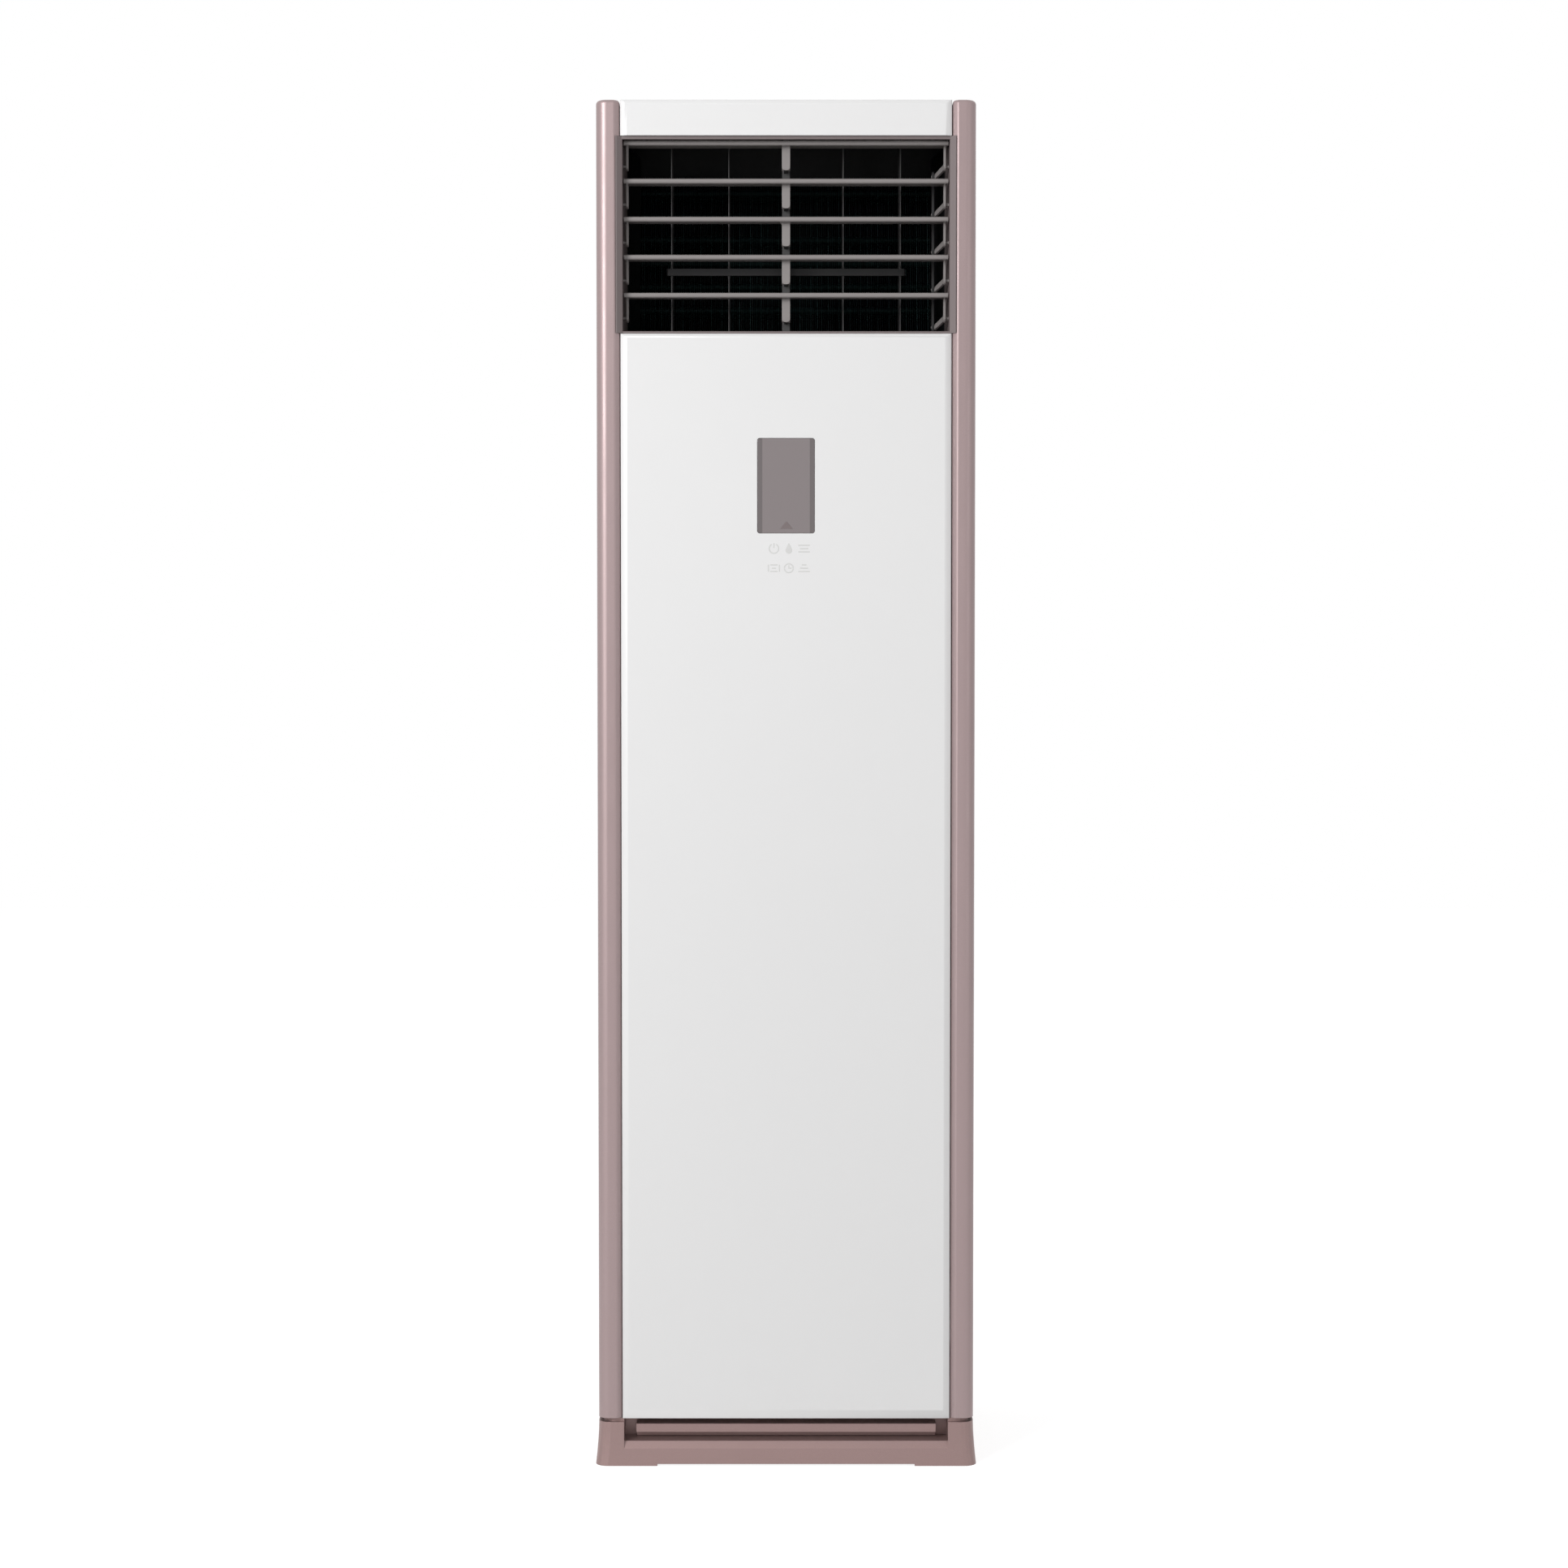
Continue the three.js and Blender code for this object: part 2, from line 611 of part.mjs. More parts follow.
/** A hollow front column, closed at the top. side is -1 on the left and 1 on the right. */
function column(side) {
  const outer = side > 0 ? columnOutline() : mirrored(columnOutline());
  const shell = roundTopped(outer, CABINET_BOTTOM, HEIGHT, EDGE_RADIUS);
  const hollow = prism("z", inset(outer, COLUMN_WALL), CABINET_BOTTOM - 1, HEIGHT - EDGE_RADIUS);
  const body = cut(shell, hollow);
  if (side < 0) return body;
  const shaftWay = STEP_SHAFT + 3 * PIN_CLEARANCE;
  const row = (LOUVER_COUNT - 1) / 2;
  const [from, to] = [COLUMN_INNER - 1, COLUMN_INNER + COLUMN_WALL + 1];
  return cut(body, rod("x", shaftWay, from, to, PIVOT_Y, pivotZ(row)));
}

/** A folded steel side panel with the opening for its air inlet and the way out for its filter. */
function sidePanel(side) {
  const [outer, front, rear] = [HALF, COLUMN_REAR + SEAT, REAR_PANEL_FRONT - SEAT];
  const inner = outer - FLANGE;
  const right = [
    [outer, front],
    [outer, rear],
    [inner, rear],
    [inner, rear - SHEET],
    [outer - SHEET, rear - SHEET],
    [outer - SHEET, front + SHEET],
    [inner, front + SHEET],
    [inner, front],
  ];
  const outline = side > 0 ? right : mirrored(right);
  const [w0, w1] = sided(side, outer - SHEET - 1, outer + 1);
  const [y0, y1, z0, z1] = [INLET_FRONT, INLET_REAR, INLET_BOTTOM, INLET_TOP];
  const window = box(w0, w1, y0 - SLIP, y1 + SLIP, z0 - SLIP, z1 + SLIP);
  const [s0, s1] = sided(side, inner - 1, FILTER_X + FILTER_THICKNESS + 1);
  const slot = box(s0, s1, rear - SHEET - 1, rear + 1, filterBottom() - 1, filterTop() + 1);
  return cut(prism("z", outline, CABINET_BOTTOM, SHELL_TOP), window, slot);
}

/** Steel back of the cabinet, stiffened by three upright swages. */
function rearPanel() {
  const [swage, foot] = [SWAGE_HALF, SWAGE_HALF + SWAGE_SLOPE];
  const path = [[-HALF, REAR]];
  for (const x of [-SWAGE_SPACING, 0, SWAGE_SPACING])
    path.push(
      [x - foot, REAR],
      [x - swage, REAR - SWAGE_DEPTH],
      [x + swage, REAR - SWAGE_DEPTH],
      [x + foot, REAR],
    );
  path.push([HALF, REAR]);
  const inside = path.map(([x, y]) => [x, y - SHEET]).reverse();
  const sheet = prism("z", [...path, ...inside], CABINET_BOTTOM, SHELL_TOP);
  const { inward, width, bottom, top, corner } = PIPE_WAY;
  const right = HALF - inward;
  const wayOutline = roundRect(right - width, right, bottom, top, corner);
  const pipeWay = prism("y", wayOutline, SWAGE_FRONT - 1, REAR + 1);
  const slots = [-1, 1].map((side) => {
    const [x0, x1] = sided(side, FILTER_X - 1, FILTER_X + FILTER_THICKNESS + 1);
    return box(x0, x1, SWAGE_FRONT, REAR + 1, filterBottom() - 1, filterTop() + 1);
  });
  return cut(sheet, pipeWay, slots);
}

function topCover() {
  const front = FRONT + PANEL_DEPTH + COVER_LAP;
  const behindColumns = COLUMN_REAR + SEAT;
  const outline = [
    [-PANEL_HALF, front],
    [PANEL_HALF, front],
    [PANEL_HALF, behindColumns],
    [HALF, behindColumns],
    [HALF, REAR],
    [-HALF, REAR],
    [-HALF, behindColumns],
    [-PANEL_HALF, behindColumns],
  ];
  const lid = roundTopped(outline, HEIGHT - EDGE_RADIUS, HEIGHT, EDGE_RADIUS / 2);
  const { width, length, drop } = COVER_CLIP;
  const under = HEIGHT - EDGE_RADIUS;
  const clips = [-1, 1].flatMap((side) =>
    [COVER_CLIP.front, COVER_CLIP.rear].map((y) => {
      const [x0, x1] = sided(side, SIDE_INNER - SLIP - width, SIDE_INNER - SLIP);
      return box(x0, x1, y - length / 2, y + length / 2, under - drop, under + 1);
    }),
  );
  return join(lid, ...clips);
}

/** A shell of a front panel, drawn in at its edges by its own bevels. */
function bevelledPanel({ bottom, top, side, foot, head }) {
  const ring = (y, amount) => {
    const [x, z0, z1] = [PANEL_HALF - side * amount, bottom + foot * amount, top - head * amount];
    return rect(-x, x, z0, z1).map(([u, v]) => [u, y, v]);
  };
  return loft("y", [ring(FRONT, 1), ring(FRONT + PANEL_BEVEL_DEPTH, 0), ring(FRONT + PANEL_DEPTH, 0)]);
}

function upperFrontPanel() {
  const body = bevelledPanel({
    bottom: UPPER_PANEL_BOTTOM,
    top: HEIGHT,
    side: PANEL_BEVEL,
    foot: 0,
    head: EDGE_RADIUS,
  });
  const half = PANEL_HALF - PANEL_RIM;
  const [front, rear] = [FRONT + PANEL_WALL, FRONT + PANEL_DEPTH + 1];
  return cut(body, box(-half, half, front, rear, UPPER_PANEL_BOTTOM - 1, HEIGHT - PANEL_RIM));
}

function frontPanel() {
  const body = bevelledPanel({
    bottom: PANEL_BOTTOM,
    top: PANEL_TOP,
    side: PANEL_BEVEL,
    foot: PANEL_FOOT_BEVEL,
    head: PANEL_HEAD_BEVEL,
  });
  const half = PANEL_HALF - PANEL_RIM;
  const [low, high] = [PANEL_BOTTOM + PANEL_FOOT_BEVEL, PANEL_TOP - PANEL_RIM];
  const bay = (high - low) / PANEL_RIBS;
  const bays = Array.from({ length: PANEL_RIBS }, (_, i) => {
    const [z0, z1] = [low + i * bay + PANEL_RIB / 2, low + (i + 1) * bay - PANEL_RIB / 2];
    return box(-half, half, FRONT + PANEL_WALL, FRONT + PANEL_DEPTH + 1, z0, z1);
  });
  const housingHalf = WINDOW_WIDTH / 2 + HOUSING_MARGIN + SEAT;
  const housingWay = box(
    -housingHalf,
    housingHalf,
    FRONT + PANEL_WALL,
    FRONT + PANEL_DEPTH + 1,
    WINDOW_BOTTOM - HOUSING_MARGIN - SEAT,
    WINDOW_BOTTOM + WINDOW_HEIGHT + HOUSING_MARGIN + SEAT,
  );
  const windowWay = prism("y", windowOutline(SEAT), FRONT - 1, FRONT + PANEL_WALL + 1);
  return cut(body, bays, housingWay, windowWay);
}

// ---------------------------------------------------------------- display

function windowOutline(grow = 0) {
  const half = WINDOW_WIDTH / 2 + grow;
  const [low, high] = [WINDOW_BOTTOM - grow, WINDOW_BOTTOM + WINDOW_HEIGHT + grow];
  return roundRect(-half, half, low, high, WINDOW_CORNER + grow);
}

const displayWindow = () => prism("y", windowOutline(), FRONT, FRONT + WINDOW_THICKNESS);

function displayHousing() {
  const half = WINDOW_WIDTH / 2 + HOUSING_MARGIN;
  const [low, high] = [WINDOW_BOTTOM - HOUSING_MARGIN, WINDOW_BOTTOM + WINDOW_HEIGHT + HOUSING_MARGIN];
  const front = FRONT + PANEL_WALL + SEAT;
  const wall = HOUSING_WALL + HOUSING_MARGIN;
  const back = front + HOUSING_CAVITY;
  const cavity = box(-half + wall, half - wall, front - 1, back, low + wall, high - wall);
  return cut(box(-half, half, front, front + HOUSING_DEPTH, low, high), cavity);
}

// ---------------------------------------------------------------- air outlet

/** Plan of one cheek: a wall with a splayed flange that lies on the column's chamfer. */
function cheekOutline() {
  const [edge, tip] = [FRONT + 0.1, PANEL_HALF + CHEEK_SPLAY];
  const bend = FRONT + COLUMN_CHAMFER_Y - 0.2;
  return [
    [OUTLET_HALF, OUTLET_REAR],
    [OUTLET_HALF, bend - SLIP],
    [tip - 1.4, edge],
    [tip, edge],
    [PANEL_HALF, bend],
    [PANEL_HALF, OUTLET_REAR],
  ];
}

function outletFrame() {
  const lipBack = FRONT + PANEL_WALL + SEAT + LIP_WALL;
  const cheekTop = UPPER_PANEL_BOTTOM - SEAT;
  const upperFront = FRONT + PANEL_DEPTH + SEAT;
  const walls = [-1, 1].flatMap((side) => {
    const right = cheekOutline();
    const [x0, x1] = sided(side, OUTLET_HALF, PANEL_HALF);
    return [
      prism("z", side > 0 ? right : mirrored(right), FRAME_BOTTOM, cheekTop),
      box(x0, x1, upperFront, OUTLET_REAR, cheekTop - 1, FRAME_TOP),
    ];
  });
  const lipHalf = PANEL_HALF - PANEL_RIM - SEAT;
  const sill = FRONT + COLUMN_CHAMFER_Y;
  const frame = join(
    ...walls,
    box(-PANEL_HALF, PANEL_HALF, sill, OUTLET_REAR, FRAME_BOTTOM, VANE_FLOOR),
    box(-lipHalf, lipHalf, lipBack - LIP_WALL, upperFront + 1, VANE_CEILING, FRAME_TOP),
    box(-PANEL_HALF, PANEL_HALF, upperFront, OUTLET_REAR, VANE_CEILING, FRAME_TOP),
    box(-lipHalf, lipHalf, lipBack - LIP_WALL, lipBack, LIP_BOTTOM, FRAME_TOP),
    box(-OUTLET_HALF - 1, OUTLET_HALF + 1, lipBack - LIP_WALL, lipBack, LIP_BOTTOM, cheekTop),
  );
  const bore = PIN_RADIUS + PIN_CLEARANCE;
  const louverBores = Array.from({ length: LOUVER_COUNT }, (_, row) => [
    rod("x", bore, -PANEL_HALF - 1, -OUTLET_HALF + 1, PIVOT_Y, pivotZ(row), ROUND),
    rod("x", bore, OUTLET_HALF - 1, PANEL_HALF + 1, PIVOT_Y, pivotZ(row), ROUND),
  ]).flat();
  const vaneBores = Array.from({ length: VANE_COUNT }, (_, i) => [
    rod("z", bore, FRAME_BOTTOM - 1, VANE_FLOOR + 1, vaneX(i), VANE_Y, ROUND),
    rod("z", bore, VANE_CEILING - 1, FRAME_TOP + 1, vaneX(i), VANE_Y, ROUND),
  ]).flat();
  return cut(frame, louverBores, vaneBores);
}

/** A horizontal louvre about its own pivot: a plate with a rolled front edge and three hanging ears. */
function louver() {
  const lip = LOUVER_LIP / 2;
  const rearTop = PIVOT_DROP - LOUVER_CAMBER;
  const plate = prism(
    "x",
    [
      ...arc(-LOUVER_FRONT + lip, PIVOT_DROP - lip, lip, 90, 270, 5),
      [-LOUVER_FRONT + 2.4 * lip, PIVOT_DROP - 1.2 * LOUVER_PLATE - LOUVER_CAMBER / 2],
      [LOUVER_REAR, rearTop - LOUVER_PLATE],
      [LOUVER_REAR, rearTop],
      [LOUVER_REAR / 4, PIVOT_DROP - LOUVER_CAMBER / 3],
    ],
    -LOUVER_HALF,
    LOUVER_HALF,
  );
  const ear = [
    [EAR_TOP, PIVOT_DROP - LOUVER_PLATE - LOUVER_CAMBER / 2],
    [-EAR_RADIUS, PIVOT_DROP - LOUVER_PLATE - LOUVER_CAMBER / 2],
    ...arc(0, 0, EAR_RADIUS, 180, 360, 5),
  ];
  const ends = [-1, 1].flatMap((side) => [
    prism("x", ear, ...sided(side, PIVOT_X - EAR_THICKNESS, PIVOT_X)),
    rod("x", PIN_RADIUS, ...sided(side, PIVOT_X - 1, PANEL_HALF - PIN_END), 0, 0, ROUND),
  ]);
  const clipInner = TONGUE_HALF + CLIP_GAP;
  const clipOuter = clipInner + CLIP_CHEEK;
  const webFront = -EAR_RADIUS - CLIP_WEB / 2;
  const clip = [
    prism("x", ear, clipInner, clipOuter),
    prism("x", ear, -clipOuter, -clipInner),
    box(-clipOuter, clipOuter, webFront, webFront + CLIP_WEB, -2, PIVOT_DROP - LOUVER_PLATE - 1),
    rod("x", CRANK_PIN, -clipInner - 1, clipInner + 1, 0, 0, ROUND),
  ];
  const armX = PIVOT_X - CRANK_INWARD;
  const armInner = armX - EAR_THICKNESS;
  const section = (x, y, z, half) =>
    rect(x - EAR_THICKNESS, x, z - half, z + half).map(([u, v]) => [u, y, v]);
  const arm = loft("y", [
    section(PIVOT_X, 2, 0, CRANK_ROOT),
    section(armX, CRANK_BACK, -CRANK_DOWN, CRANK_TIP),
  ]);
  const pin = [CRANK_BACK, -CRANK_DOWN, ROUND];
  const crank = [
    arm,
    rod("x", TONGUE_RADIUS, armInner, armX, ...pin),
    rod("x", CRANK_PIN, armInner - LINK_THICKNESS - 1, armX - 1, ...pin),
  ];
  return join(plate, ...ends, ...clip, ...crank);
}

/** The upright bar that joins the crank pins of all louvres. */
function louverLink() {
  const y = PIVOT_Y + CRANK_BACK;
  const pinZ = (row) => pivotZ(row) - CRANK_DOWN;
  const [low, high] = [pinZ(LOUVER_COUNT - 1) - LINK_END, pinZ(0) + LINK_END];
  const half = LINK_WIDTH / 2;
  const outline = roundRect(y - half, y + half, low, high, half - 0.1, 3);
  const holes = Array.from({ length: LOUVER_COUNT }, (_, row) =>
    disc(CRANK_PIN + PIN_CLEARANCE, ROUND, y, pinZ(row)),
  );
  const right = PIVOT_X - CRANK_INWARD - EAR_THICKNESS - SLIP;
  return prism("x", outline, right - LINK_THICKNESS, right, holes);
}

/** The post behind the louvres, with a tongue into the clip of each middle ear. */
function centrePost() {
  const rear = POST_FRONT + POST_DEPTH;
  const post = box(-POST_HALF, POST_HALF, POST_FRONT, rear, VANE_FLOOR + SEAT, VANE_CEILING - SEAT);
  const tongues = Array.from({ length: LOUVER_COUNT }, (_, row) => {
    const z = pivotZ(row);
    const outline = [
      [rear - 1, z + TONGUE_RADIUS],
      ...arc(PIVOT_Y, z, TONGUE_RADIUS, 90, 270, 4),
      [rear - 1, z - TONGUE_RADIUS],
    ];
    const hole = disc(CRANK_PIN + PIN_CLEARANCE, ROUND, PIVOT_Y, z);
    return prism("x", outline, -TONGUE_HALF, TONGUE_HALF, [hole]);
  });
  return join(post, ...tongues);
}

/** An upright vane about its own pivot line, at its real height. */
function vane() {
  const half = VANE_CHORD / 2;
  const [thick, edge] = [VANE_THICKNESS / 2, VANE_EDGE / 2];
  const outline = [
    [thick, 0],
    [edge, half],
    [-edge, half],
    [-thick, 0],
    [-edge, -half],
    [edge, -half],
  ];
  const blade = prism("z", outline, VANE_FLOOR + VANE_GAP, VANE_CEILING - VANE_GAP);
  const notchBack = NOTCH_BACK - VANE_LINK_OFFSET;
  const [notchLow, notchHigh] = [VANE_LINK_Z - NOTCH_HEIGHT / 2, VANE_LINK_Z + NOTCH_HEIGHT / 2];
  const notch = box(-NOTCH_HALF, NOTCH_HALF, -half - 1, notchBack, notchLow, notchHigh);
  const [lowBoss, highBoss] = [VANE_FLOOR + SEAT, VANE_CEILING - SEAT];
  return join(
    cut(blade, notch),
    rod("z", VANE_BOSS, lowBoss, lowBoss + VANE_BOSS_HEIGHT, 0, 0, ROUND),
    rod("z", VANE_BOSS, highBoss - VANE_BOSS_HEIGHT, highBoss, 0, 0, ROUND),
    rod("z", PIN_RADIUS, FRAME_BOTTOM + SEAT, lowBoss + 1, 0, 0, ROUND),
    rod("z", PIN_RADIUS, highBoss - 1, FRAME_TOP - PIN_END, 0, 0, ROUND),
    rod("z", VANE_PIN, notchLow - 1, notchHigh + 1, 0, -VANE_LINK_OFFSET, ROUND),
  );
}

/** The level bar that joins the link pins of all vanes. */
function vaneLink() {
  const y = VANE_Y - VANE_LINK_OFFSET;
  const [left, right] = [vaneX(0) - LINK_END, vaneX(VANE_COUNT - 1) + LINK_END];
  const reach = LINK_WIDTH / 2;
  const outline = roundRect(left, right, y - reach, y + reach, reach - 0.1, 3);
  const holes = Array.from({ length: VANE_COUNT }, (_, i) =>
    disc(VANE_PIN + PIN_CLEARANCE, ROUND, vaneX(i), y),
  );
  const half = VANE_LINK_HEIGHT / 2;
  return prism("z", outline, VANE_LINK_Z - half, VANE_LINK_Z + half, holes);
}

/** A flat can motor whose shaft points towards -z, its mounting face at z = 0. */
function stepMotor(shaftLength) {
  const half = STEP_EAR_WIDTH / 2;
  const ears = roundRect(-STEP_EAR, STEP_EAR, -half, half, STEP_EAR_CORNER, 2);
  return join(
    rod("z", STEP_RADIUS, 0, STEP_LENGTH, 0, 0, 16),
    prism("z", ears, 0, STEP_EAR_THICKNESS),
    rod("z", STEP_SHAFT, -shaftLength, 1, 0, 0, ROUND),
  );
}

// ---------------------------------------------------------------- air inlets and filters

function filterBottom() {
  return INLET_BOTTOM + INLET_FRAME + FILTER_SLIP;
}

function filterTop() {
  return INLET_TOP - INLET_FRAME - FILTER_SLIP;
}

/** A louvred grille for one side, with a runner above and below for the filter. */
function inletGrille(side) {
  const block = (x0, x1, ...rest) => box(...sided(side, x0, x1), ...rest);
  const [y0, y1, z0, z1] = [INLET_FRONT, INLET_REAR, INLET_BOTTOM, INLET_TOP];
  const [face, wall] = [HALF + SEAT, INLET_FRAME];
  const outside = face + INLET_FLANGE_THICKNESS;
  const grow = INLET_FLANGE;
  const flange = cut(
    block(face, outside, y0 - grow, y1 + grow, z0 - grow, z1 + grow),
    block(face - 1, outside + 1, y0 + wall, y1 - wall, z0 + wall, z1 - wall),
  );
  const runnerX = FILTER_X - FILTER_SLIP - RUNNER_WALL;
  const outerX = FILTER_X + FILTER_THICKNESS + FILTER_SLIP + 1;
  const middle = (y0 + y1) / 2;
  const pieces = [
    flange,
    block(runnerX, face + 1, y0, y1, z0, z0 + wall),
    block(runnerX, face + 1, y0, y1, z1 - wall, z1),
    block(runnerX, runnerX + RUNNER_WALL, y0, y1, z0, z0 + wall + RUNNER_LIP),
    block(runnerX, runnerX + RUNNER_WALL, y0, y1, z1 - wall - RUNNER_LIP, z1),
    block(outerX, face + 1, y0, y0 + wall, z0, z1),
    block(outerX, face + 1, y1 - wall, y1, z0, z1),
    block(HALF - SLAT_DEPTH - 1, face - 1, middle - STAY_HALF, middle + STAY_HALF, z0 + 1, z1 - 1),
  ];
  const room = z1 - z0 - 2 * wall - SLAT_RISE - SLAT_THICKNESS;
  const count = Math.floor(room / SLAT_PITCH);
  const first = (z0 + z1 - count * SLAT_PITCH - SLAT_RISE - SLAT_THICKNESS) / 2;
  for (let i = 0; i <= count; i++) {
    const z = first + i * SLAT_PITCH;
    const slat = [
      [HALF - SLAT_DEPTH, z + SLAT_RISE],
      [face, z],
      [face, z + SLAT_THICKNESS],
      [HALF - SLAT_DEPTH, z + SLAT_RISE + SLAT_THICKNESS],
    ];
    const outline = side > 0 ? slat : mirrored(slat);
    pieces.push(prism("y", outline, y0 + wall - 1, y1 - wall + 1));
  }
  return join(...pieces);
}

/** A filter frame with its net, drawn out to the rear. */
function filter(side) {
  const block = (x0, x1, ...rest) => box(...sided(side, x0, x1), ...rest);
  const [front, rear] = [INLET_FRONT + 2, REAR];
  const [low, high] = [filterBottom(), filterTop()];
  const body = block(FILTER_X, FILTER_X + FILTER_THICKNESS, front, rear, low, high);
  const middle = FILTER_X + FILTER_THICKNESS / 2;
  const field = [front + FILTER_BORDER, rear - 2 * FILTER_BORDER];
  const columnWidth = (field[1] - field[0] + FILTER_RIB) / 2;
  const rowHeight = (high - low - 2 * FILTER_BORDER + FILTER_RIB) / FILTER_BARS;
  const pockets = [];
  for (let i = 0; i < 2; i++)
    for (let j = 0; j < FILTER_BARS; j++) {
      const y = field[0] + i * columnWidth;
      const z = low + FILTER_BORDER + j * rowHeight;
      const area = [y, y + columnWidth - FILTER_RIB, z, z + rowHeight - FILTER_RIB];
      pockets.push(
        block(FILTER_X - 1, middle - FILTER_NET / 2, ...area),
        block(middle + FILTER_NET / 2, FILTER_X + FILTER_THICKNESS + 1, ...area),
      );
    }
  return cut(body, pockets);
}

// ---------------------------------------------------------------- evaporator

/** The fin pack in the coil's own frame: z runs up the coil and y is its thickness. */
function finPack() {
  const pitch = (2 * COIL_HALF_WIDTH - FIN_THICKNESS) / (FIN_COUNT - 1);
  const face = COIL_THICKNESS / 2;
  const root = face - FIN_DEPTH;
  const front = [];
  for (let i = 0; i < FIN_COUNT; i++) {
    const x = -COIL_HALF_WIDTH + i * pitch;
    if (i > 0) front.push([x, -root]);
    front.push([x, -face], [x + FIN_THICKNESS, -face]);
    if (i < FIN_COUNT - 1) front.push([x + FIN_THICKNESS, -root]);
  }
  const rear = front.map(([x, y]) => [x, -y]).reverse();
  return prism("z", [...front, ...rear], 0, COIL_LENGTH);
}

/** A tube sheet at one end of the coil, with the return bends of its tubes. */
function coilEnd(side) {
  const half = COIL_THICKNESS / 2 - 2;
  const [x0, x1] = [COIL_HALF_WIDTH + SEAT, COIL_HALF_WIDTH + SEAT + SHEET];
  const [sine, cosine] = [Math.sin(COIL_ANGLE), Math.cos(COIL_ANGLE)];
  const foot = (COIL_BOTTOM - half * sine - (TRAY_BOTTOM + TRAY_FLOOR + SEAT)) / cosine;
  const sheet = box(...sided(side, x0, x1), -half, half, -foot, COIL_LENGTH);
  const reach = TUBE_SPAN / 2;
  const pitch = (COIL_LENGTH - BEND_FIRST - BEND_LAST) / (BEND_COUNT - 1);
  const bends = Array.from({ length: BEND_COUNT }, (_, i) => {
    const y = (i % 2 ? 1 : -1) * (TUBE_ROW / 2);
    const z = BEND_FIRST + i * pitch;
    const turn = arc(x1 + BEND_RISE - reach, z, reach, -90, 90, 4);
    const root = x1 - TUBE_SEAT;
    const route = [[root, z - reach], ...turn, [root, z + reach]];
    return tube(route.map(([x, h]) => [side * x, y, h]), TUBE_RADIUS, 4, 6);
  });
  return join(sheet, ...bends);
}

/** A pipe along a route of [distance in from the side panel, y, z], from a tube in the coil. */
function sidePipe(y, z, route, radius, steps, sides) {
  const start = COIL_HALF_WIDTH + SHEET + 2 * SEAT;
  const points = route.map(([inward, u, v]) => [SIDE_INNER - inward, u, v]);
  return tube([[start, y, z], ...points], radius, steps, sides);
}

/** The two copper pipes, from the right end of the coil down to the way out in the rear panel. */
function gasPipe() {
  const route = [
    [31.8, -34, 930],
    [26.8, -20, 926],
    [26.8, 20, 915],
    [26.8, 60, 890],
    [27.8, 100, 830],
    [28.8, 118, 700],
    [28.8, 120, 560],
    [28.8, 120, 300],
    [34.8, 120, 190],
    [44.8, 128, 156],
    [50.8, 140, 150],
    [50.8, 150, 150],
  ];
  return sidePipe(-34, 930, route, GAS_PIPE_RADIUS, 16, 7);
}

function liquidPipe() {
  const route = [
    [37.8, -28, 962],
    [33.8, -16, 961],
    [34.8, 10, 955],
    [36.8, 40, 935],
    [40.8, 72, 890],
    [43.8, 88, 820],
    [46.8, 92, 700],
    [50.8, 94, 560],
    [52.8, 98, 300],
    [58.8, 104, 180],
    [68.8, 122, 124],
    [70.8, 140, 118],
    [70.8, 150, 118],
  ];
  return sidePipe(-28, 962, route, LIQUID_PIPE_RADIUS, 16, 6);
}

function condensateTray() {
  const [half, top] = [SIDE_INNER - SLIP, TRAY_BOTTOM + TRAY_HEIGHT];
  const wall = TRAY_WALL;
  const body = box(-half, half, TRAY_FRONT, TRAY_REAR, TRAY_BOTTOM, top);
  const basin = box(
    -half + wall,
    half - wall,
    TRAY_FRONT + wall,
    TRAY_REAR - wall,
    TRAY_BOTTOM + TRAY_FLOOR,
    top + 1,
  );
  const [y, foot] = [TRAY_REAR - DRAIN_SETBACK, TRAY_BOTTOM - SPOUT_LENGTH];
  const spout = rod("z", DRAIN_RADIUS, foot, TRAY_BOTTOM + 1, DRAIN_X, y, 12);
  const bore = rod("z", DRAIN_RADIUS - SPOUT_WALL, foot - 1, top, DRAIN_X, y, 12);
  return cut(join(cut(body, basin), spout), bore);
}

function drainPipe() {
  const y = TRAY_REAR - DRAIN_SETBACK;
  const route = [
    [DRAIN_X, y, TRAY_BOTTOM - SPOUT_LENGTH - SEAT],
    [DRAIN_X, y, 835],
    [DRAIN_X - 4, 30, 790],
    [DRAIN_X - 12, 90, 740],
    [DRAIN_X - 17, 130, 680],
    [DRAIN_X - 18, 143, 600],
    [DRAIN_X - 18, 143, 300],
    [DRAIN_X - 18, 143, 75],
  ];
  return tube(route, DRAIN_RADIUS, 14, 7);
}

/** The steel floor over the fan space, open over the scroll's outlet and notched for the pipes. */
function partitionPlate() {
  const half = SIDE_INNER - SLIP;
  const [front, rear] = [PARTITION_FRONT, SWAGE_FRONT - SEAT];
  const [low, high] = [PARTITION_Z, PARTITION_Z + FLANGE];
  const outline = [
    [front, low],
    [rear, low],
    [rear, low + SHEET],
    [front + SHEET, low + SHEET],
    [front + SHEET, high],
    [front, high],
  ];
  const way = box(
    -scrollRadius(-180),
    tonguePoint()[0],
    VOLUTE_FRONT + VOLUTE_WALL,
    VOLUTE_REAR - VOLUTE_WALL,
    low - 1,
    low + 5,
  );
  const pipesLeft = HALF - PIPE_NOTCH.width;
  const pipes = box(pipesLeft, half + 1, PIPE_NOTCH.front, rear + 1, low - 1, low + 5);
  const drainRight = DRAIN_NOTCH.width - HALF;
  const drain = box(-half - 1, drainRight, DRAIN_NOTCH.front, rear + 1, low - 1, low + 5);
  return cut(prism("x", outline, -half, half), way, pipes, drain);
}

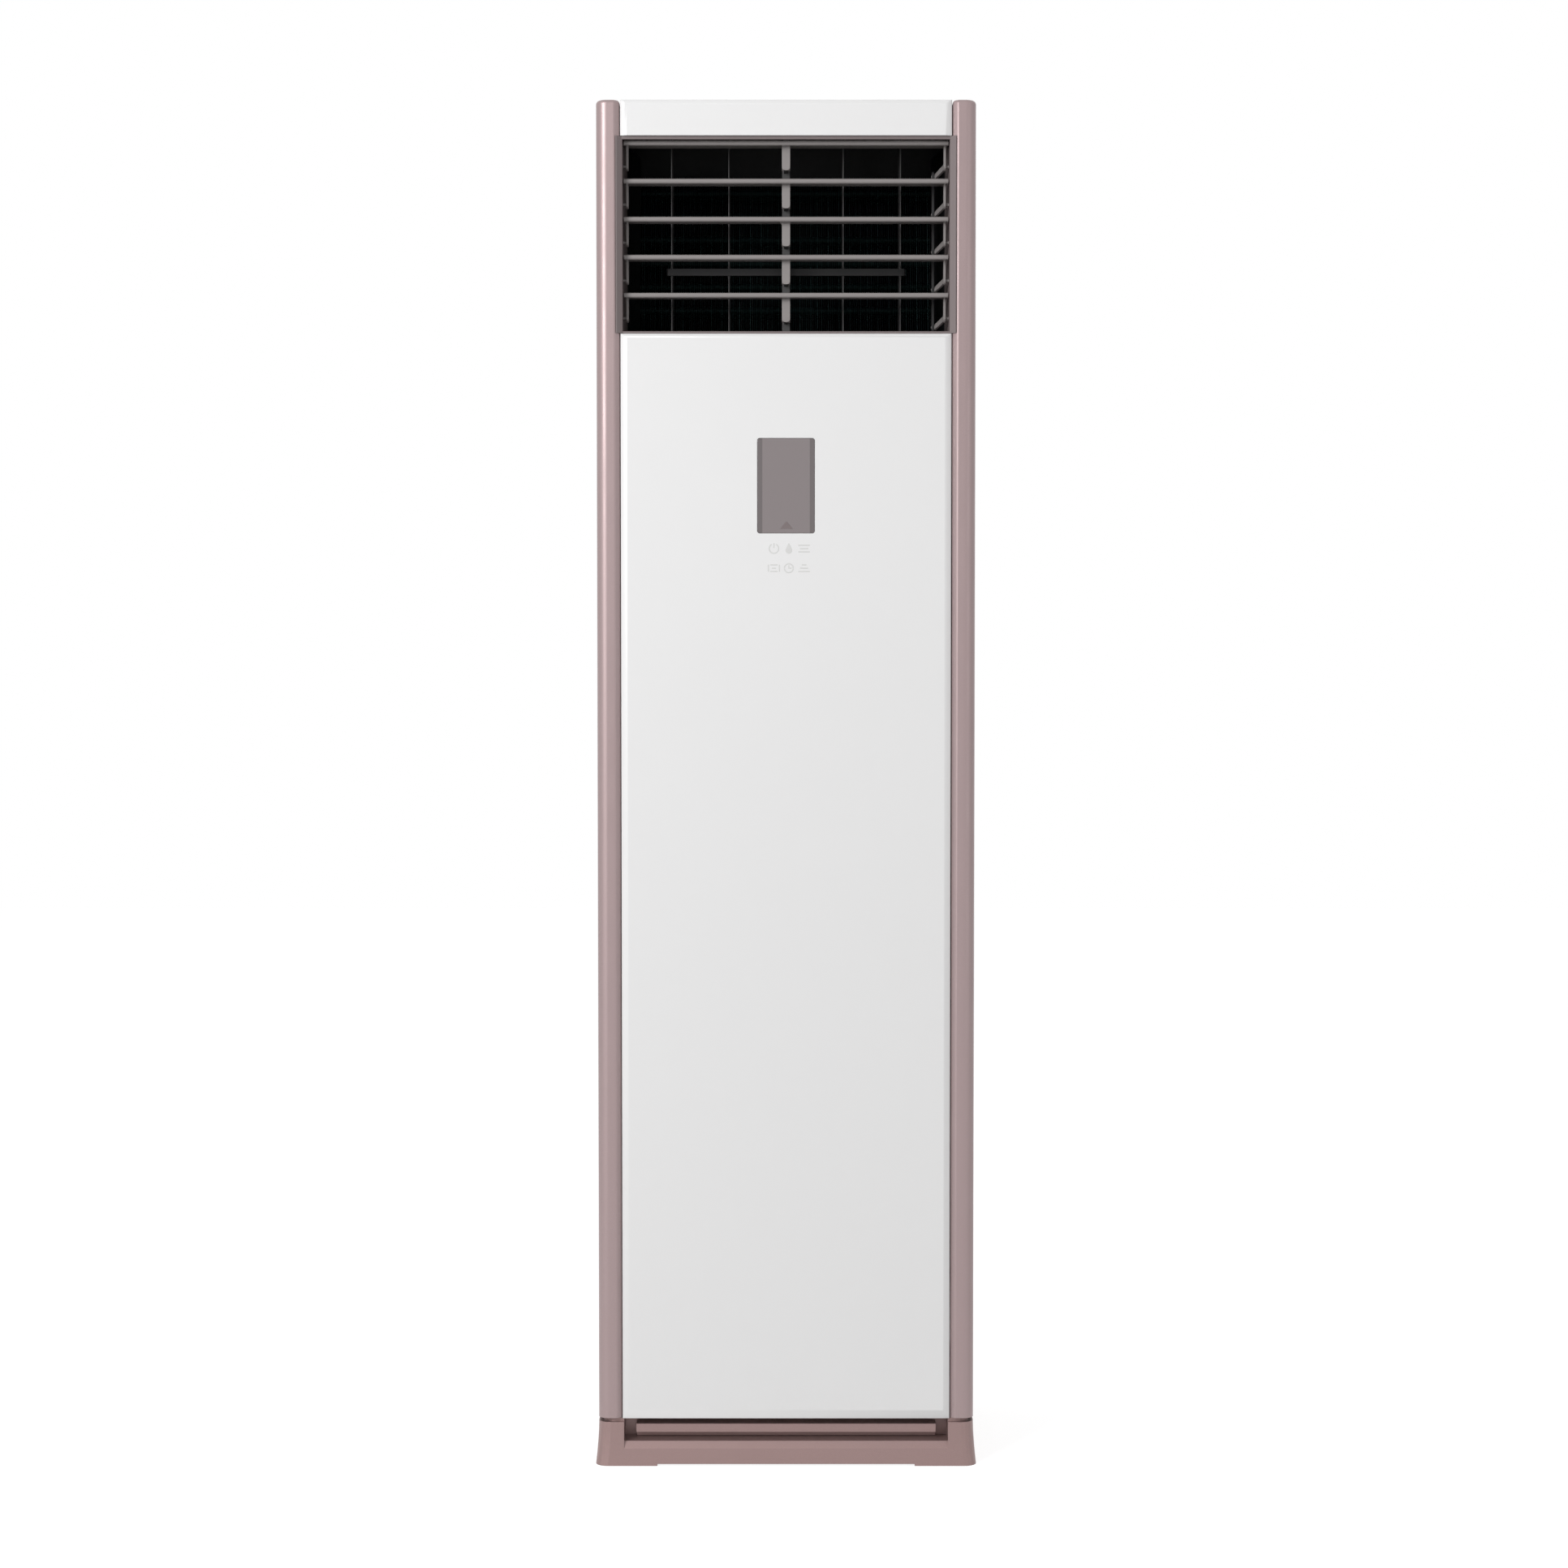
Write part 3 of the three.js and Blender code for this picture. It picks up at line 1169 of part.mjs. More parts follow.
// ---------------------------------------------------------------- fan

function scrollRadius(angle) {
  const turned = (TONGUE_ANGLE - angle) / (TONGUE_ANGLE + 180);
  return WHEEL_RADIUS + TONGUE_GAP + SCROLL_GROWTH * turned;
}

/** Where the scroll's tongue lies, in (x, z). */
function tonguePoint() {
  const angle = THREE.MathUtils.degToRad(TONGUE_ANGLE);
  const r = scrollRadius(TONGUE_ANGLE);
  return [r * Math.cos(angle), FAN_Z + r * Math.sin(angle)];
}

/** The inside of the scroll in (x, z), anticlockwise, up to a height. */
function scrollOutline(top) {
  const steps = 15;
  const points = Array.from({ length: steps + 1 }, (_, i) => {
    const angle = -180 + ((TONGUE_ANGLE + 180) * i) / steps;
    const a = THREE.MathUtils.degToRad(angle);
    const r = scrollRadius(angle);
    return [r * Math.cos(a), FAN_Z + r * Math.sin(a)];
  });
  return [[-scrollRadius(-180), top], ...points, [tonguePoint()[0], top]];
}

/** The wall of the scroll between two depths. */
function scrollWall(from, to) {
  const top = PARTITION_Z - SEAT;
  const outer = inset(scrollOutline(top - VOLUTE_WALL), -VOLUTE_WALL);
  return cut(prism("y", outer, from, to), prism("y", scrollOutline(top + 9), from - 1, to + 1));
}

function scrollPlate(from, to, hole) {
  const top = PARTITION_Z - SEAT;
  const plate = prism("y", inset(scrollOutline(top - VOLUTE_WALL), -VOLUTE_WALL), from, to);
  return cut(plate, rod("y", hole, from - 1, to + 1, 0, FAN_Z, 20));
}

function voluteFront() {
  const hole = BELL_THROAT + BELL_CURVE;
  return join(
    scrollWall(VOLUTE_FRONT, VOLUTE_SPLIT - SEAT / 2),
    scrollPlate(VOLUTE_FRONT, VOLUTE_FRONT + VOLUTE_WALL, hole),
  );
}

function voluteRear() {
  const leg = VOLUTE_LEG / 2;
  const legs = [-1, 1].map((side) => {
    const x = side * VOLUTE_LEG_X;
    const foot = CABINET_BOTTOM + SHEET + SEAT;
    return box(x - leg, x + leg, VOLUTE_REAR - VOLUTE_LEG_DEPTH, VOLUTE_REAR, foot, FAN_Z - WHEEL_BORE);
  });
  const inside = prism("y", scrollOutline(PARTITION_Z), VOLUTE_SPLIT, VOLUTE_REAR + 1);
  return join(
    cut(join(...legs), inside),
    scrollWall(VOLUTE_SPLIT + SEAT / 2, VOLUTE_REAR),
    scrollPlate(VOLUTE_REAR - VOLUTE_WALL, VOLUTE_REAR, MOTOR_HOLE),
  );
}

/** The rounded inlet ring, about the fan's axis. */
function bellMouth() {
  const [curve, wall] = [BELL_CURVE, VOLUTE_WALL];
  const face = VOLUTE_FRONT - SEAT - wall;
  const [r, y] = [BELL_THROAT + curve, face + curve];
  return revolve(
    [
      [BELL_MOUTH, face],
      [BELL_MOUTH, face + wall],
      ...arc(r, y, curve - wall, 270, 180, 2),
      [BELL_THROAT + wall, WHEEL_FRONT - 1],
      [BELL_THROAT, WHEEL_FRONT - 1],
      ...arc(r, y, curve, 180, 270, 2),
    ],
    20,
  );
}

/** One forward-curved blade in (x, z), swept round from its inner edge to its outer edge. */
function bladeOutline(turn) {
  const steps = 2;
  const edge = (offset) =>
    Array.from({ length: steps + 1 }, (_, i) => {
      const share = i / steps;
      const radius = WHEEL_BORE + (BLADE_DEPTH - BLADE_INSET) * share;
      const angle = turn - BLADE_SWEEP * share ** 2 + THREE.MathUtils.radToDeg(offset / radius);
      return arc(0, 0, radius, angle, angle, 1)[0];
    });
  return [...edge(-BLADE_THICKNESS / 2), ...edge(BLADE_THICKNESS / 2).reverse()];
}

/** The fan wheel about its own axis: hub, dome over the motor, back disc, blades and front ring. */
function fanWheel() {
  const bore = SHAFT_RADIUS + SEAT;
  const [rear, skin, curve] = [WHEEL_REAR, WHEEL_SKIN, DOME_CURVE];
  const [domeFront, domeRadius] = [MOTOR_FRONT - DOME_FRONT, MOTOR_RADIUS + DOME_MARGIN];
  const hubFront = SHAFT_FRONT + HUB_STEP;
  const disc = revolve(
    [
      [bore, hubFront],
      [HUB_RADIUS, hubFront],
      [HUB_RADIUS, domeFront - 9],
      [domeRadius - curve, domeFront],
      [domeRadius, domeFront + curve],
      [domeRadius + 4, rear - skin],
      [WHEEL_RADIUS, rear - skin],
      [WHEEL_RADIUS, rear],
      [domeRadius + 0.5, rear],
      [domeRadius - skin, domeFront + curve + 2],
      [domeRadius - curve - 2, domeFront + skin],
      [HUB_RADIUS, domeFront - 5],
      [HUB_RADIUS, domeFront + 4],
      [bore, domeFront + 4],
    ],
    20,
  );
  const ringBore = WHEEL_RADIUS - RING_WIDTH;
  const ring = revolve(
    [
      [ringBore, WHEEL_FRONT],
      [WHEEL_RADIUS, WHEEL_FRONT],
      [WHEEL_RADIUS, WHEEL_FRONT + WHEEL_RING],
      [ringBore, WHEEL_FRONT + WHEEL_RING],
    ],
    20,
  );
  const blades = Array.from({ length: BLADE_COUNT }, (_, i) =>
    prism("y", bladeOutline((360 * i) / BLADE_COUNT), WHEEL_FRONT + 1, rear - 1),
  );
  return join(disc, ring, ...blades);
}

/** The fan motor about its own axis, with a blind bore for its shaft. */
function fanMotor() {
  const [front, radius] = [MOTOR_FRONT, MOTOR_RADIUS];
  const profile = [
    [0, front],
    [MOTOR_BOSS, front],
    [MOTOR_BOSS + 2, front + MOTOR_STEP],
    [radius - MOTOR_SHOULDER, front + MOTOR_STEP],
    [radius, front + MOTOR_STEP + MOTOR_SHOULDER],
    [radius, VOLUTE_REAR],
    [0, VOLUTE_REAR],
  ];
  const bore = rod("y", SHAFT_RADIUS + SEAT, front - 1, VOLUTE_REAR - SHAFT_REAR, 0, 0, 16);
  return cut(revolve(profile, 20), bore);
}

function motorShaft() {
  return rod("y", SHAFT_RADIUS, SHAFT_FRONT, VOLUTE_REAR - SHAFT_REAR - SEAT, 0, 0, 16);
}

function wheelNut() {
  const [front, rear] = [SHAFT_FRONT + NUT.front, SHAFT_FRONT + NUT.rear - SEAT];
  const nut = rod("y", NUT.radius, front, rear, 0, 0, 6);
  return cut(nut, rod("y", SHAFT_RADIUS + SEAT, front - 1, rear + 1, 0, 0, 16));
}

/** The plate that carries the motor, with a window between each pair of arms. */
function motorBracket() {
  const half = BRACKET_HALF;
  const front = VOLUTE_REAR + SEAT;
  const rear = front + BRACKET_THICKNESS;
  const plate = prism("y", roundRect(-half, half, -half, half, BRACKET_CORNER), front, rear);
  const { inner, outer, turn } = BRACKET_WINDOW;
  const windows = [45, 135, 225, 315].map((middle) => {
    const [from, to] = [middle - turn / 2, middle + turn / 2];
    const outline = [...arc(0, 0, outer, from, to, 3), ...arc(0, 0, inner, to, from, 3)];
    return prism("y", outline, front - 1, rear + 1);
  });
  return cut(plate, windows);
}

// ---------------------------------------------------------------- controls

function controlBox() {
  const half = COLUMN_INNER - SLIP;
  const [low, high] = [BOX_BOTTOM, BOX_BOTTOM + BOX_HEIGHT];
  const shell = cut(
    box(-half, half, BOX_FRONT, BOX_REAR, low, high),
    box(-half + SHEET, half - SHEET, BOX_FRONT - 1, BOX_REAR - SHEET, low + SHEET, high - SHEET),
  );
  const [dx, dz] = [BOARD.width / 2 - BOARD.post, BOARD.height / 2 - BOARD.post];
  const wall = BOX_REAR - SHEET;
  const posts = [-1, 1].flatMap((i) =>
    [-1, 1].map((k) => {
      const [x, z] = [BOARD.x + i * dx, BOX_BOTTOM + BOARD.rise + k * dz];
      return rod("y", POST_RADIUS, wall - STANDOFF, wall + SHEET / 2, x, z, ROUND);
    }),
  );
  return join(shell, ...posts);
}

function controlBoxCover() {
  const half = COLUMN_INNER - SLIP;
  const rear = BOX_FRONT - SEAT;
  const plate = box(-half, half, rear - SHEET, rear, BOX_BOTTOM, BOX_BOTTOM + BOX_HEIGHT);
  const low = BOX_BOTTOM + CABLE_WAY.rise;
  const { left, right, height, corner } = CABLE_WAY;
  const way = prism("y", roundRect(left, right, low, low + height, corner), rear - SHEET - 1, rear + 1);
  return cut(plate, way);
}

/** The main circuit board with its larger parts standing on it. */
function mainBoard() {
  const rear = BOX_REAR - SHEET - STANDOFF - SEAT;
  const front = rear - BOARD.thickness;
  const foot = front + BOARD.thickness / 2;
  const z = BOX_BOTTOM + BOARD.rise;
  const [w, h] = [BOARD.width / 2, BOARD.height / 2];
  const board = box(BOARD.x - w, BOARD.x + w, front, rear, z - h, z + h);
  const part = (px, pz, width, height, rise) => {
    const [cx, cz] = [BOARD.x + px, z + pz];
    return box(cx - width / 2, cx + width / 2, front - rise, foot, cz - height / 2, cz + height / 2);
  };
  const chips = CHIPS.map((chip) => part(chip.x, chip.z, chip.width, chip.height, chip.rise));
  const relays = Array.from({ length: RELAYS.count }, (_, i) =>
    part(RELAYS.x + i * RELAYS.pitch, RELAYS.z, RELAYS.width, RELAYS.height, RELAYS.rise),
  );
  const cans = Array.from({ length: CANS.count }, (_, i) => {
    const x = BOARD.x + CANS.x + i * CANS.pitch;
    return rod("y", CANS.radius, front - CANS.rise, foot, x, z + CANS.z, 10);
  });
  return join(board, ...chips, ...relays, ...cans);
}

/** A laminated core with its winding, on a strap with two lugs. */
function transformer() {
  const [x, z] = [TRANSFORMER.x, BOX_BOTTOM + TRANSFORMER.rise];
  const { half, height, front, rear } = TRANSFORMER;
  const core = box(x - half, x + half, BOX_BACK - front, BOX_BACK - rear, z - height / 2, z + height / 2);
  const [w, h] = [WINDING.half, WINDING.height / 2];
  const winding = roundRect(x - w, x + w, z - h, z + h, WINDING.corner, 2);
  const strapFront = BOX_BACK - LUG.thickness;
  const strap = box(x - LUG.half, x + LUG.half, strapFront, BOX_BACK, z - LUG.height / 2, z + LUG.height / 2);
  return join(core, prism("y", winding, BOX_BACK - WINDING.front, BOX_BACK - 3), strap);
}

function fanCapacitor() {
  const { x, rise, length, radius, tab, tabHeight, tabDepth } = CAPACITOR;
  const y = BOX_BACK - radius;
  const [low, high] = [BOX_BOTTOM + rise, BOX_BOTTOM + rise + length];
  const terminal = box(x - tab, x + tab, y - tabDepth / 2, y + tabDepth / 2, high - 1, high + tabHeight);
  return join(rod("z", radius, low, high, x, y, 20), terminal);
}

function terminalBlock() {
  const { x, drop, height, depth, pitch, ways } = TERMINALS;
  const high = BOX_BOTTOM + BOX_HEIGHT - drop;
  const low = high - height;
  const front = BOX_BACK - depth;
  const body = box(x, x + ways * pitch, front, BOX_BACK, low, high);
  const { wall, rim, floor } = WELL;
  const wells = Array.from({ length: ways }, (_, i) => {
    const [left, right] = [x + pitch * i + wall, x + pitch * (i + 1) - wall];
    return box(left, right, front - 1, BOX_BACK - floor, low + rim, high - rim);
  });
  return cut(body, wells);
}

/** The liner that closes the air space behind the front panel. */
function frontBaffle() {
  const half = COLUMN_INNER - SLIP;
  const [low, high] = [TRAY_BOTTOM + TRAY_HEIGHT + BAFFLE_FOOT, FRAME_BOTTOM - BAFFLE_HEAD];
  return box(-half, half, BAFFLE_Y, BAFFLE_Y + BAFFLE_THICKNESS, low, high);
}

// ---------------------------------------------------------------- materials

const finish = (color, roughness, metalness = 0) =>
  new THREE.MeshStandardMaterial({ color, roughness, metalness });

const FINISHES = {
  white: finish(0xe9e9ea, 0.32),
  rose: finish(0xaf9c9a, 0.38, 0.45),
  base: finish(0x9a8583, 0.42, 0.4),
  frame: finish(0x6e6564, 0.5),
  louver: finish(0x8b8988, 0.42),
  vane: finish(0x2c2c2c, 0.55),
  dark: finish(0x1c1c1d, 0.6),
  window: finish(0x8c8485, 0.12),
  steel: finish(0xc9cbcc, 0.35, 0.9),
  painted: finish(0xe0e0de, 0.45),
  fins: finish(0x7fb3ad, 0.45, 0.7),
  copper: finish(0xb87333, 0.3, 1),
  foam: finish(0xdedede, 0.9),
  fan: finish(0x3a3d40, 0.5),
  motor: finish(0x565a5e, 0.4, 0.8),
  net: finish(0x33363a, 0.8),
  board: finish(0x1f6a3a, 0.5),
  black: finish(0x202224, 0.5),
  pipe: finish(0xd8d8d4, 0.6),
};

// ---------------------------------------------------------------- the assembly

const unit = new THREE.Group();

function place(group, name, body, material, position = [0, 0, 0]) {
  const mesh = new THREE.Mesh(geometryOf(body), FINISHES[material]);
  mesh.name = name;
  mesh.position.set(...position);
  group.add(mesh);
}

function subassembly(position = [0, 0, 0], tilt = 0) {
  const group = new THREE.Group();
  group.position.set(...position);
  group.rotation.x = tilt;
  unit.add(group);
  return group;
}

const SIDES = { left: -1, right: 1 };

const cabinet = subassembly();
place(cabinet, "base_plinth", basePlinth(), "base");
place(cabinet, "toe_rail", toeRail(), "base");
place(cabinet, "base_pan", basePan(), "steel");
for (const [name, side] of Object.entries(SIDES)) {
  place(cabinet, "column_" + name, column(side), "rose");
  place(cabinet, "side_panel_" + name, sidePanel(side), "painted");
  place(cabinet, "inlet_grille_" + name, inletGrille(side), "painted");
  place(cabinet, "filter_" + name, filter(side), "net");
}
place(cabinet, "rear_panel", rearPanel(), "painted");
place(cabinet, "top_cover", topCover(), "painted");
place(cabinet, "upper_front_panel", upperFrontPanel(), "white");
place(cabinet, "front_panel", frontPanel(), "white");
place(cabinet, "front_baffle", frontBaffle(), "foam");
place(cabinet, "display_window", displayWindow(), "window");
place(cabinet, "display_housing", displayHousing(), "dark");

const outlet = subassembly();
place(outlet, "outlet_frame", outletFrame(), "frame");
place(outlet, "centre_post", centrePost(), "vane");
const louverBody = louver();
for (let row = 0; row < LOUVER_COUNT; row++)
  place(outlet, "louver_" + (row + 1), louverBody, "louver", [0, PIVOT_Y, pivotZ(row)]);
place(outlet, "louver_link", louverLink(), "louver");
const vaneBody = vane();
for (let i = 0; i < VANE_COUNT; i++)
  place(outlet, "vane_" + (i + 1), vaneBody, "vane", [vaneX(i), VANE_Y, 0]);
place(outlet, "vane_link", vaneLink(), "vane");
const vaneMotor = stepMotor(SEAT + PIN_END - SHAFT_GAP);
place(outlet, "vane_motor", vaneMotor, "steel", [0, VANE_Y, FRAME_TOP + SEAT]);

const motorRow = (LOUVER_COUNT - 1) / 2;
const louverDrive = subassembly([COLUMN_INNER + COLUMN_WALL + SEAT, PIVOT_Y, pivotZ(motorRow)]);
louverDrive.rotation.y = Math.PI / 2;
const driveReach = SEAT + COLUMN_WALL + PANEL_GAP + PIN_END - SHAFT_GAP;
place(louverDrive, "louver_motor", stepMotor(driveReach), "steel");

const coil = subassembly([0, COIL_Y, COIL_BOTTOM], -COIL_ANGLE);
place(coil, "evaporator_fins", finPack(), "fins");
for (const [name, side] of Object.entries(SIDES))
  place(coil, "coil_end_" + name, coilEnd(side), "copper");

const airway = subassembly();
place(airway, "gas_pipe", gasPipe(), "copper");
place(airway, "liquid_pipe", liquidPipe(), "copper");
place(airway, "condensate_tray", condensateTray(), "foam");
place(airway, "drain_pipe", drainPipe(), "pipe");
place(airway, "partition_plate", partitionPlate(), "steel");
place(airway, "volute_front", voluteFront(), "foam");
place(airway, "volute_rear", voluteRear(), "foam");
place(airway, "motor_bracket", motorBracket(), "steel", [0, 0, FAN_Z]);

const fan = subassembly([0, 0, FAN_Z]);
place(fan, "bell_mouth", bellMouth(), "dark");
place(fan, "fan_wheel", fanWheel(), "fan");
place(fan, "wheel_nut", wheelNut(), "steel");
place(fan, "motor_shaft", motorShaft(), "steel");
place(fan, "fan_motor", fanMotor(), "motor");

const controls = subassembly();
place(controls, "control_box", controlBox(), "steel");
place(controls, "control_box_cover", controlBoxCover(), "steel");
place(controls, "main_board", mainBoard(), "board");
place(controls, "transformer", transformer(), "black");
place(controls, "fan_capacitor", fanCapacitor(), "steel");
place(controls, "terminal_block", terminalBlock(), "black");

export default unit;
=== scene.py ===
"""Looks of the floor standing air conditioner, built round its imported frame.

Every length is in metres in the frame's own coordinates: +Z up, the front faces -Y.
"""

import json
import logging
import math
from dataclasses import dataclass, field
from enum import Enum
from typing import Iterable, Sequence

import bmesh
import bpy
from mathutils import Matrix, Vector

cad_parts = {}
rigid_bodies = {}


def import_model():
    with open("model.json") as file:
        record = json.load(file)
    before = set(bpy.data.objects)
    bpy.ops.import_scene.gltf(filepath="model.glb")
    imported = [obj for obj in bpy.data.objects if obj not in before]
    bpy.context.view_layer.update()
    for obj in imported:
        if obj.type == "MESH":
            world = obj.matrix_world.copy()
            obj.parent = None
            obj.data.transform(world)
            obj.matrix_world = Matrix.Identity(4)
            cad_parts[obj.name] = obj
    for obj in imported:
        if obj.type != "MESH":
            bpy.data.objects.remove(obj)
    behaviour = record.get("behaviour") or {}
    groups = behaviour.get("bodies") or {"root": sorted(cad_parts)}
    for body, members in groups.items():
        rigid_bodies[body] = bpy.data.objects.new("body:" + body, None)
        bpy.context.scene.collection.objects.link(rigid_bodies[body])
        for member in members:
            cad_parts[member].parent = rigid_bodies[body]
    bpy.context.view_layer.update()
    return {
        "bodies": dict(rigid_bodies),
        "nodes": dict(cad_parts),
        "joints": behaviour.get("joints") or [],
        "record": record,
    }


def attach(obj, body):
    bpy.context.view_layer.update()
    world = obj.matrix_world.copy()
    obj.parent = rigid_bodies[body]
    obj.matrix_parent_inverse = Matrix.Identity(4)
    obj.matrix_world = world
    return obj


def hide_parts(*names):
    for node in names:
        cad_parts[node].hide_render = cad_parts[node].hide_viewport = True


Point = tuple[float, float, float]
Outline = list[tuple[float, float]]
Colour = tuple[float, float, float]

LOG = logging.getLogger("air_conditioner")
MM = 0.001

# Cabinet, in millimetres
HEIGHT = 1750.0
HALF = 242.0
FRONT = -153.5
REAR = 157.5
SEAT = 0.3
SHEET = 1.2
SWAGE = 5.0

# Columns
COLUMN_INNER = 211.8
COLUMN_REAR = -84.0
COLUMN_CORNER = 14.0
COLUMN_WALL = 2.5
CABINET_BOTTOM = 61.3
EDGE_RADIUS = 5.0

# Front panels
PANEL_HALF = 211.0
PANEL_DEPTH = 18.0
PANEL_BOTTOM = 60.0
PANEL_TOP = 1454.5
UPPER_BOTTOM = 1704.5

# Window
WINDOW_HALF = 36.5
WINDOW_LOW = 1200.6
WINDOW_HIGH = 1321.2

# Louvres
LOUVER_COUNT = 5
LOUVER_HALF = 207.2
PIVOT_Y = -119.0
PIVOT_DROP = 31.0
PIVOT_TOP = 1670.0
PITCH = 48.3

# Link bars, given the near-black slot as painted shade, as they are lost in the dark of the outlet
LINKS_IN_PAINTED_SHADE = ("louver_link", "vane_link")

# Sharpest edge that is shaded smooth, in degrees
SMOOTH_ANGLE = 32.0
COLUMN_SMOOTH = 20.0
LOUVER_SMOOTH = 38.0
PANEL_SMOOTH = 40.0
SCREW_SMOOTH = 50.0


class Slot(Enum):
    """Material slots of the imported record."""

    WHITE = "white"
    ROSE = "rose"
    BASE = "base"
    FRAME = "frame"
    LOUVER = "louver"
    VANE = "vane"
    DARK = "dark"
    WINDOW = "window"
    STEEL = "steel"
    PAINTED = "painted"
    FINS = "fins"
    COPPER = "copper"
    FOAM = "foam"
    FAN = "fan"
    MOTOR = "motor"
    NET = "net"
    BOARD = "board"
    BLACK = "black"
    PIPE = "pipe"


# Shader graphs


class Graph:
    """One material's node tree, with short calls for the nodes the finishes use."""

    def __init__(self, name: str) -> None:
        """Make an empty material with a Principled shader.

        Args:
            name: Name of the material.
        """
        self.material = bpy.data.materials.new(name)
        self.material.use_nodes = True
        self.tree = self.material.node_tree
        self.shader = self.tree.nodes["Principled BSDF"]
        self.coords = self.tree.nodes.new("ShaderNodeTexCoord")

    def node(self, kind: str, **settings: object) -> bpy.types.Node:
        """Add a node.

        Args:
            kind: Node type without its ShaderNode prefix.
            **settings: Attributes to set on the node.

        Returns:
            The new node.
        """
        made = self.tree.nodes.new("ShaderNode" + kind)
        for key, value in settings.items():
            setattr(made, key, value)
        return made

    def link(self, source: bpy.types.NodeSocket, target: bpy.types.NodeSocket) -> None:
        """Join an output socket to an input socket."""
        self.tree.links.new(source, target)

    def place(self, scale: Point) -> bpy.types.NodeSocket:
        """Object coordinates, stretched.

        Args:
            scale: Factor along each axis.

        Returns:
            The vector socket.
        """
        mapping = self.node("Mapping")
        mapping.inputs["Scale"].default_value = scale
        self.link(self.coords.outputs["Object"], mapping.inputs["Vector"])
        return mapping.outputs["Vector"]

    def noise(
        self, scale: float, detail: float = 2.0, stretch: Point = (1, 1, 1)
    ) -> bpy.types.NodeSocket:
        """Fractal noise over the piece.

        Args:
            scale: Features per metre, roughly.
            detail: Octaves.
            stretch: Factor along each axis before the noise.

        Returns:
            The value socket, centred on one half.
        """
        made = self.node("TexNoise")
        made.inputs["Scale"].default_value = scale
        made.inputs["Detail"].default_value = detail
        self.link(self.place(stretch), made.inputs["Vector"])
        return made.outputs["Fac"]

    def cells(self, scale: float, feature: str = "F1") -> bpy.types.Node:
        """Voronoi cells over the piece.

        Args:
            scale: Cells per metre.
            feature: Which distance the node measures.

        Returns:
            The Voronoi node.
        """
        made = self.node("TexVoronoi", feature=feature)
        made.inputs["Scale"].default_value = scale
        self.link(self.place((1, 1, 1)), made.inputs["Vector"])
        return made

    def specks(self, scale: float) -> bpy.types.NodeSocket:
        """A random value from 0 to 1 for each cell.

        Args:
            scale: Cells per metre.

        Returns:
            The value socket.
        """
        split = self.node("SeparateColor")
        self.link(self.cells(scale).outputs["Color"], split.inputs[0])
        return split.outputs[0]

    def waves(self, scale: float, axis: str) -> bpy.types.NodeSocket:
        """Parallel bands along an axis.

        Args:
            scale: Bands per metre, roughly.
            axis: X, Y or Z.

        Returns:
            The value socket.
        """
        made = self.node("TexWave", wave_type="BANDS", bands_direction=axis)
        made.inputs["Scale"].default_value = scale
        self.link(self.coords.outputs["Object"], made.inputs["Vector"])
        return made.outputs["Fac"]

    def ramp(
        self, value: bpy.types.NodeSocket, low: float, high: float, to: tuple[float, float]
    ) -> bpy.types.NodeSocket:
        """Map a range of a value onto another, clamped.

        Args:
            value: Input socket.
            low: Start of the range that is read.
            high: End of the range that is read.
            to: Values at the two ends.

        Returns:
            The mapped value.
        """
        made = self.node("MapRange")
        for name, number in zip(("From Min", "From Max", "To Min", "To Max"), (low, high, *to)):
            made.inputs[name].default_value = number
        self.link(value, made.inputs["Value"])
        return made.outputs["Result"]

    def blend(
        self,
        factor: bpy.types.NodeSocket,
        first: Colour | bpy.types.NodeSocket,
        second: Colour,
    ) -> bpy.types.NodeSocket:
        """Mix two colours.

        Args:
            factor: 0 gives the first, 1 the second.
            first: Linear colour, or a colour socket.
            second: Linear colour.

        Returns:
            The colour socket.
        """
        made = self.node("Mix", data_type="RGBA")
        under, over = made.inputs[6], made.inputs[7]
        if isinstance(first, bpy.types.NodeSocket):
            self.link(first, under)
        else:
            under.default_value = (*first, 1)
        over.default_value = (*second, 1)
        self.link(factor, made.inputs[0])
        return made.outputs[2]

    def bump(
        self,
        height: bpy.types.NodeSocket,
        depth: float,
        below: bpy.types.NodeSocket | None = None,
    ) -> bpy.types.NodeSocket:
        """Surface relief.

        Args:
            height: Height socket, 0 to 1.
            depth: Full height of the relief in metres.
            below: Normal from a relief under this one.

        Returns:
            The normal socket.
        """
        made = self.node("Bump")
        made.inputs["Strength"].default_value = 1.0
        made.inputs["Distance"].default_value = depth
        self.link(height, made.inputs["Height"])
        if below is not None:
            self.link(below, made.inputs["Normal"])
        return made.outputs["Normal"]

    def rounded(self, radius: float) -> bpy.types.NodeSocket:
        """Shading of softly broken edges.

        Args:
            radius: Radius of the edges in metres.

        Returns:
            The normal socket.
        """
        made = self.node("Bevel", samples=6)
        made.inputs["Radius"].default_value = radius
        return made.outputs["Normal"]

    def position(self, axis: int) -> bpy.types.NodeSocket:
        """One object coordinate in metres.

        Args:
            axis: 0, 1 or 2.

        Returns:
            The value socket.
        """
        split = self.node("SeparateXYZ")
        self.link(self.coords.outputs["Object"], split.inputs[0])
        return split.outputs[axis]

    def set(self, name: str, value: object) -> None:
        """Set or link an input of the shader.

        Args:
            name: Input name.
            value: A constant or a socket.
        """
        target = self.shader.inputs[name]
        if isinstance(value, bpy.types.NodeSocket):
            self.link(value, target)
        else:
            target.default_value = value


def shaded(colour: Colour, factor: float) -> Colour:
    """A linear colour times a factor, kept inside 0 to 1."""
    return tuple(min(1.0, max(0.0, c * factor)) for c in colour)


# Finishes


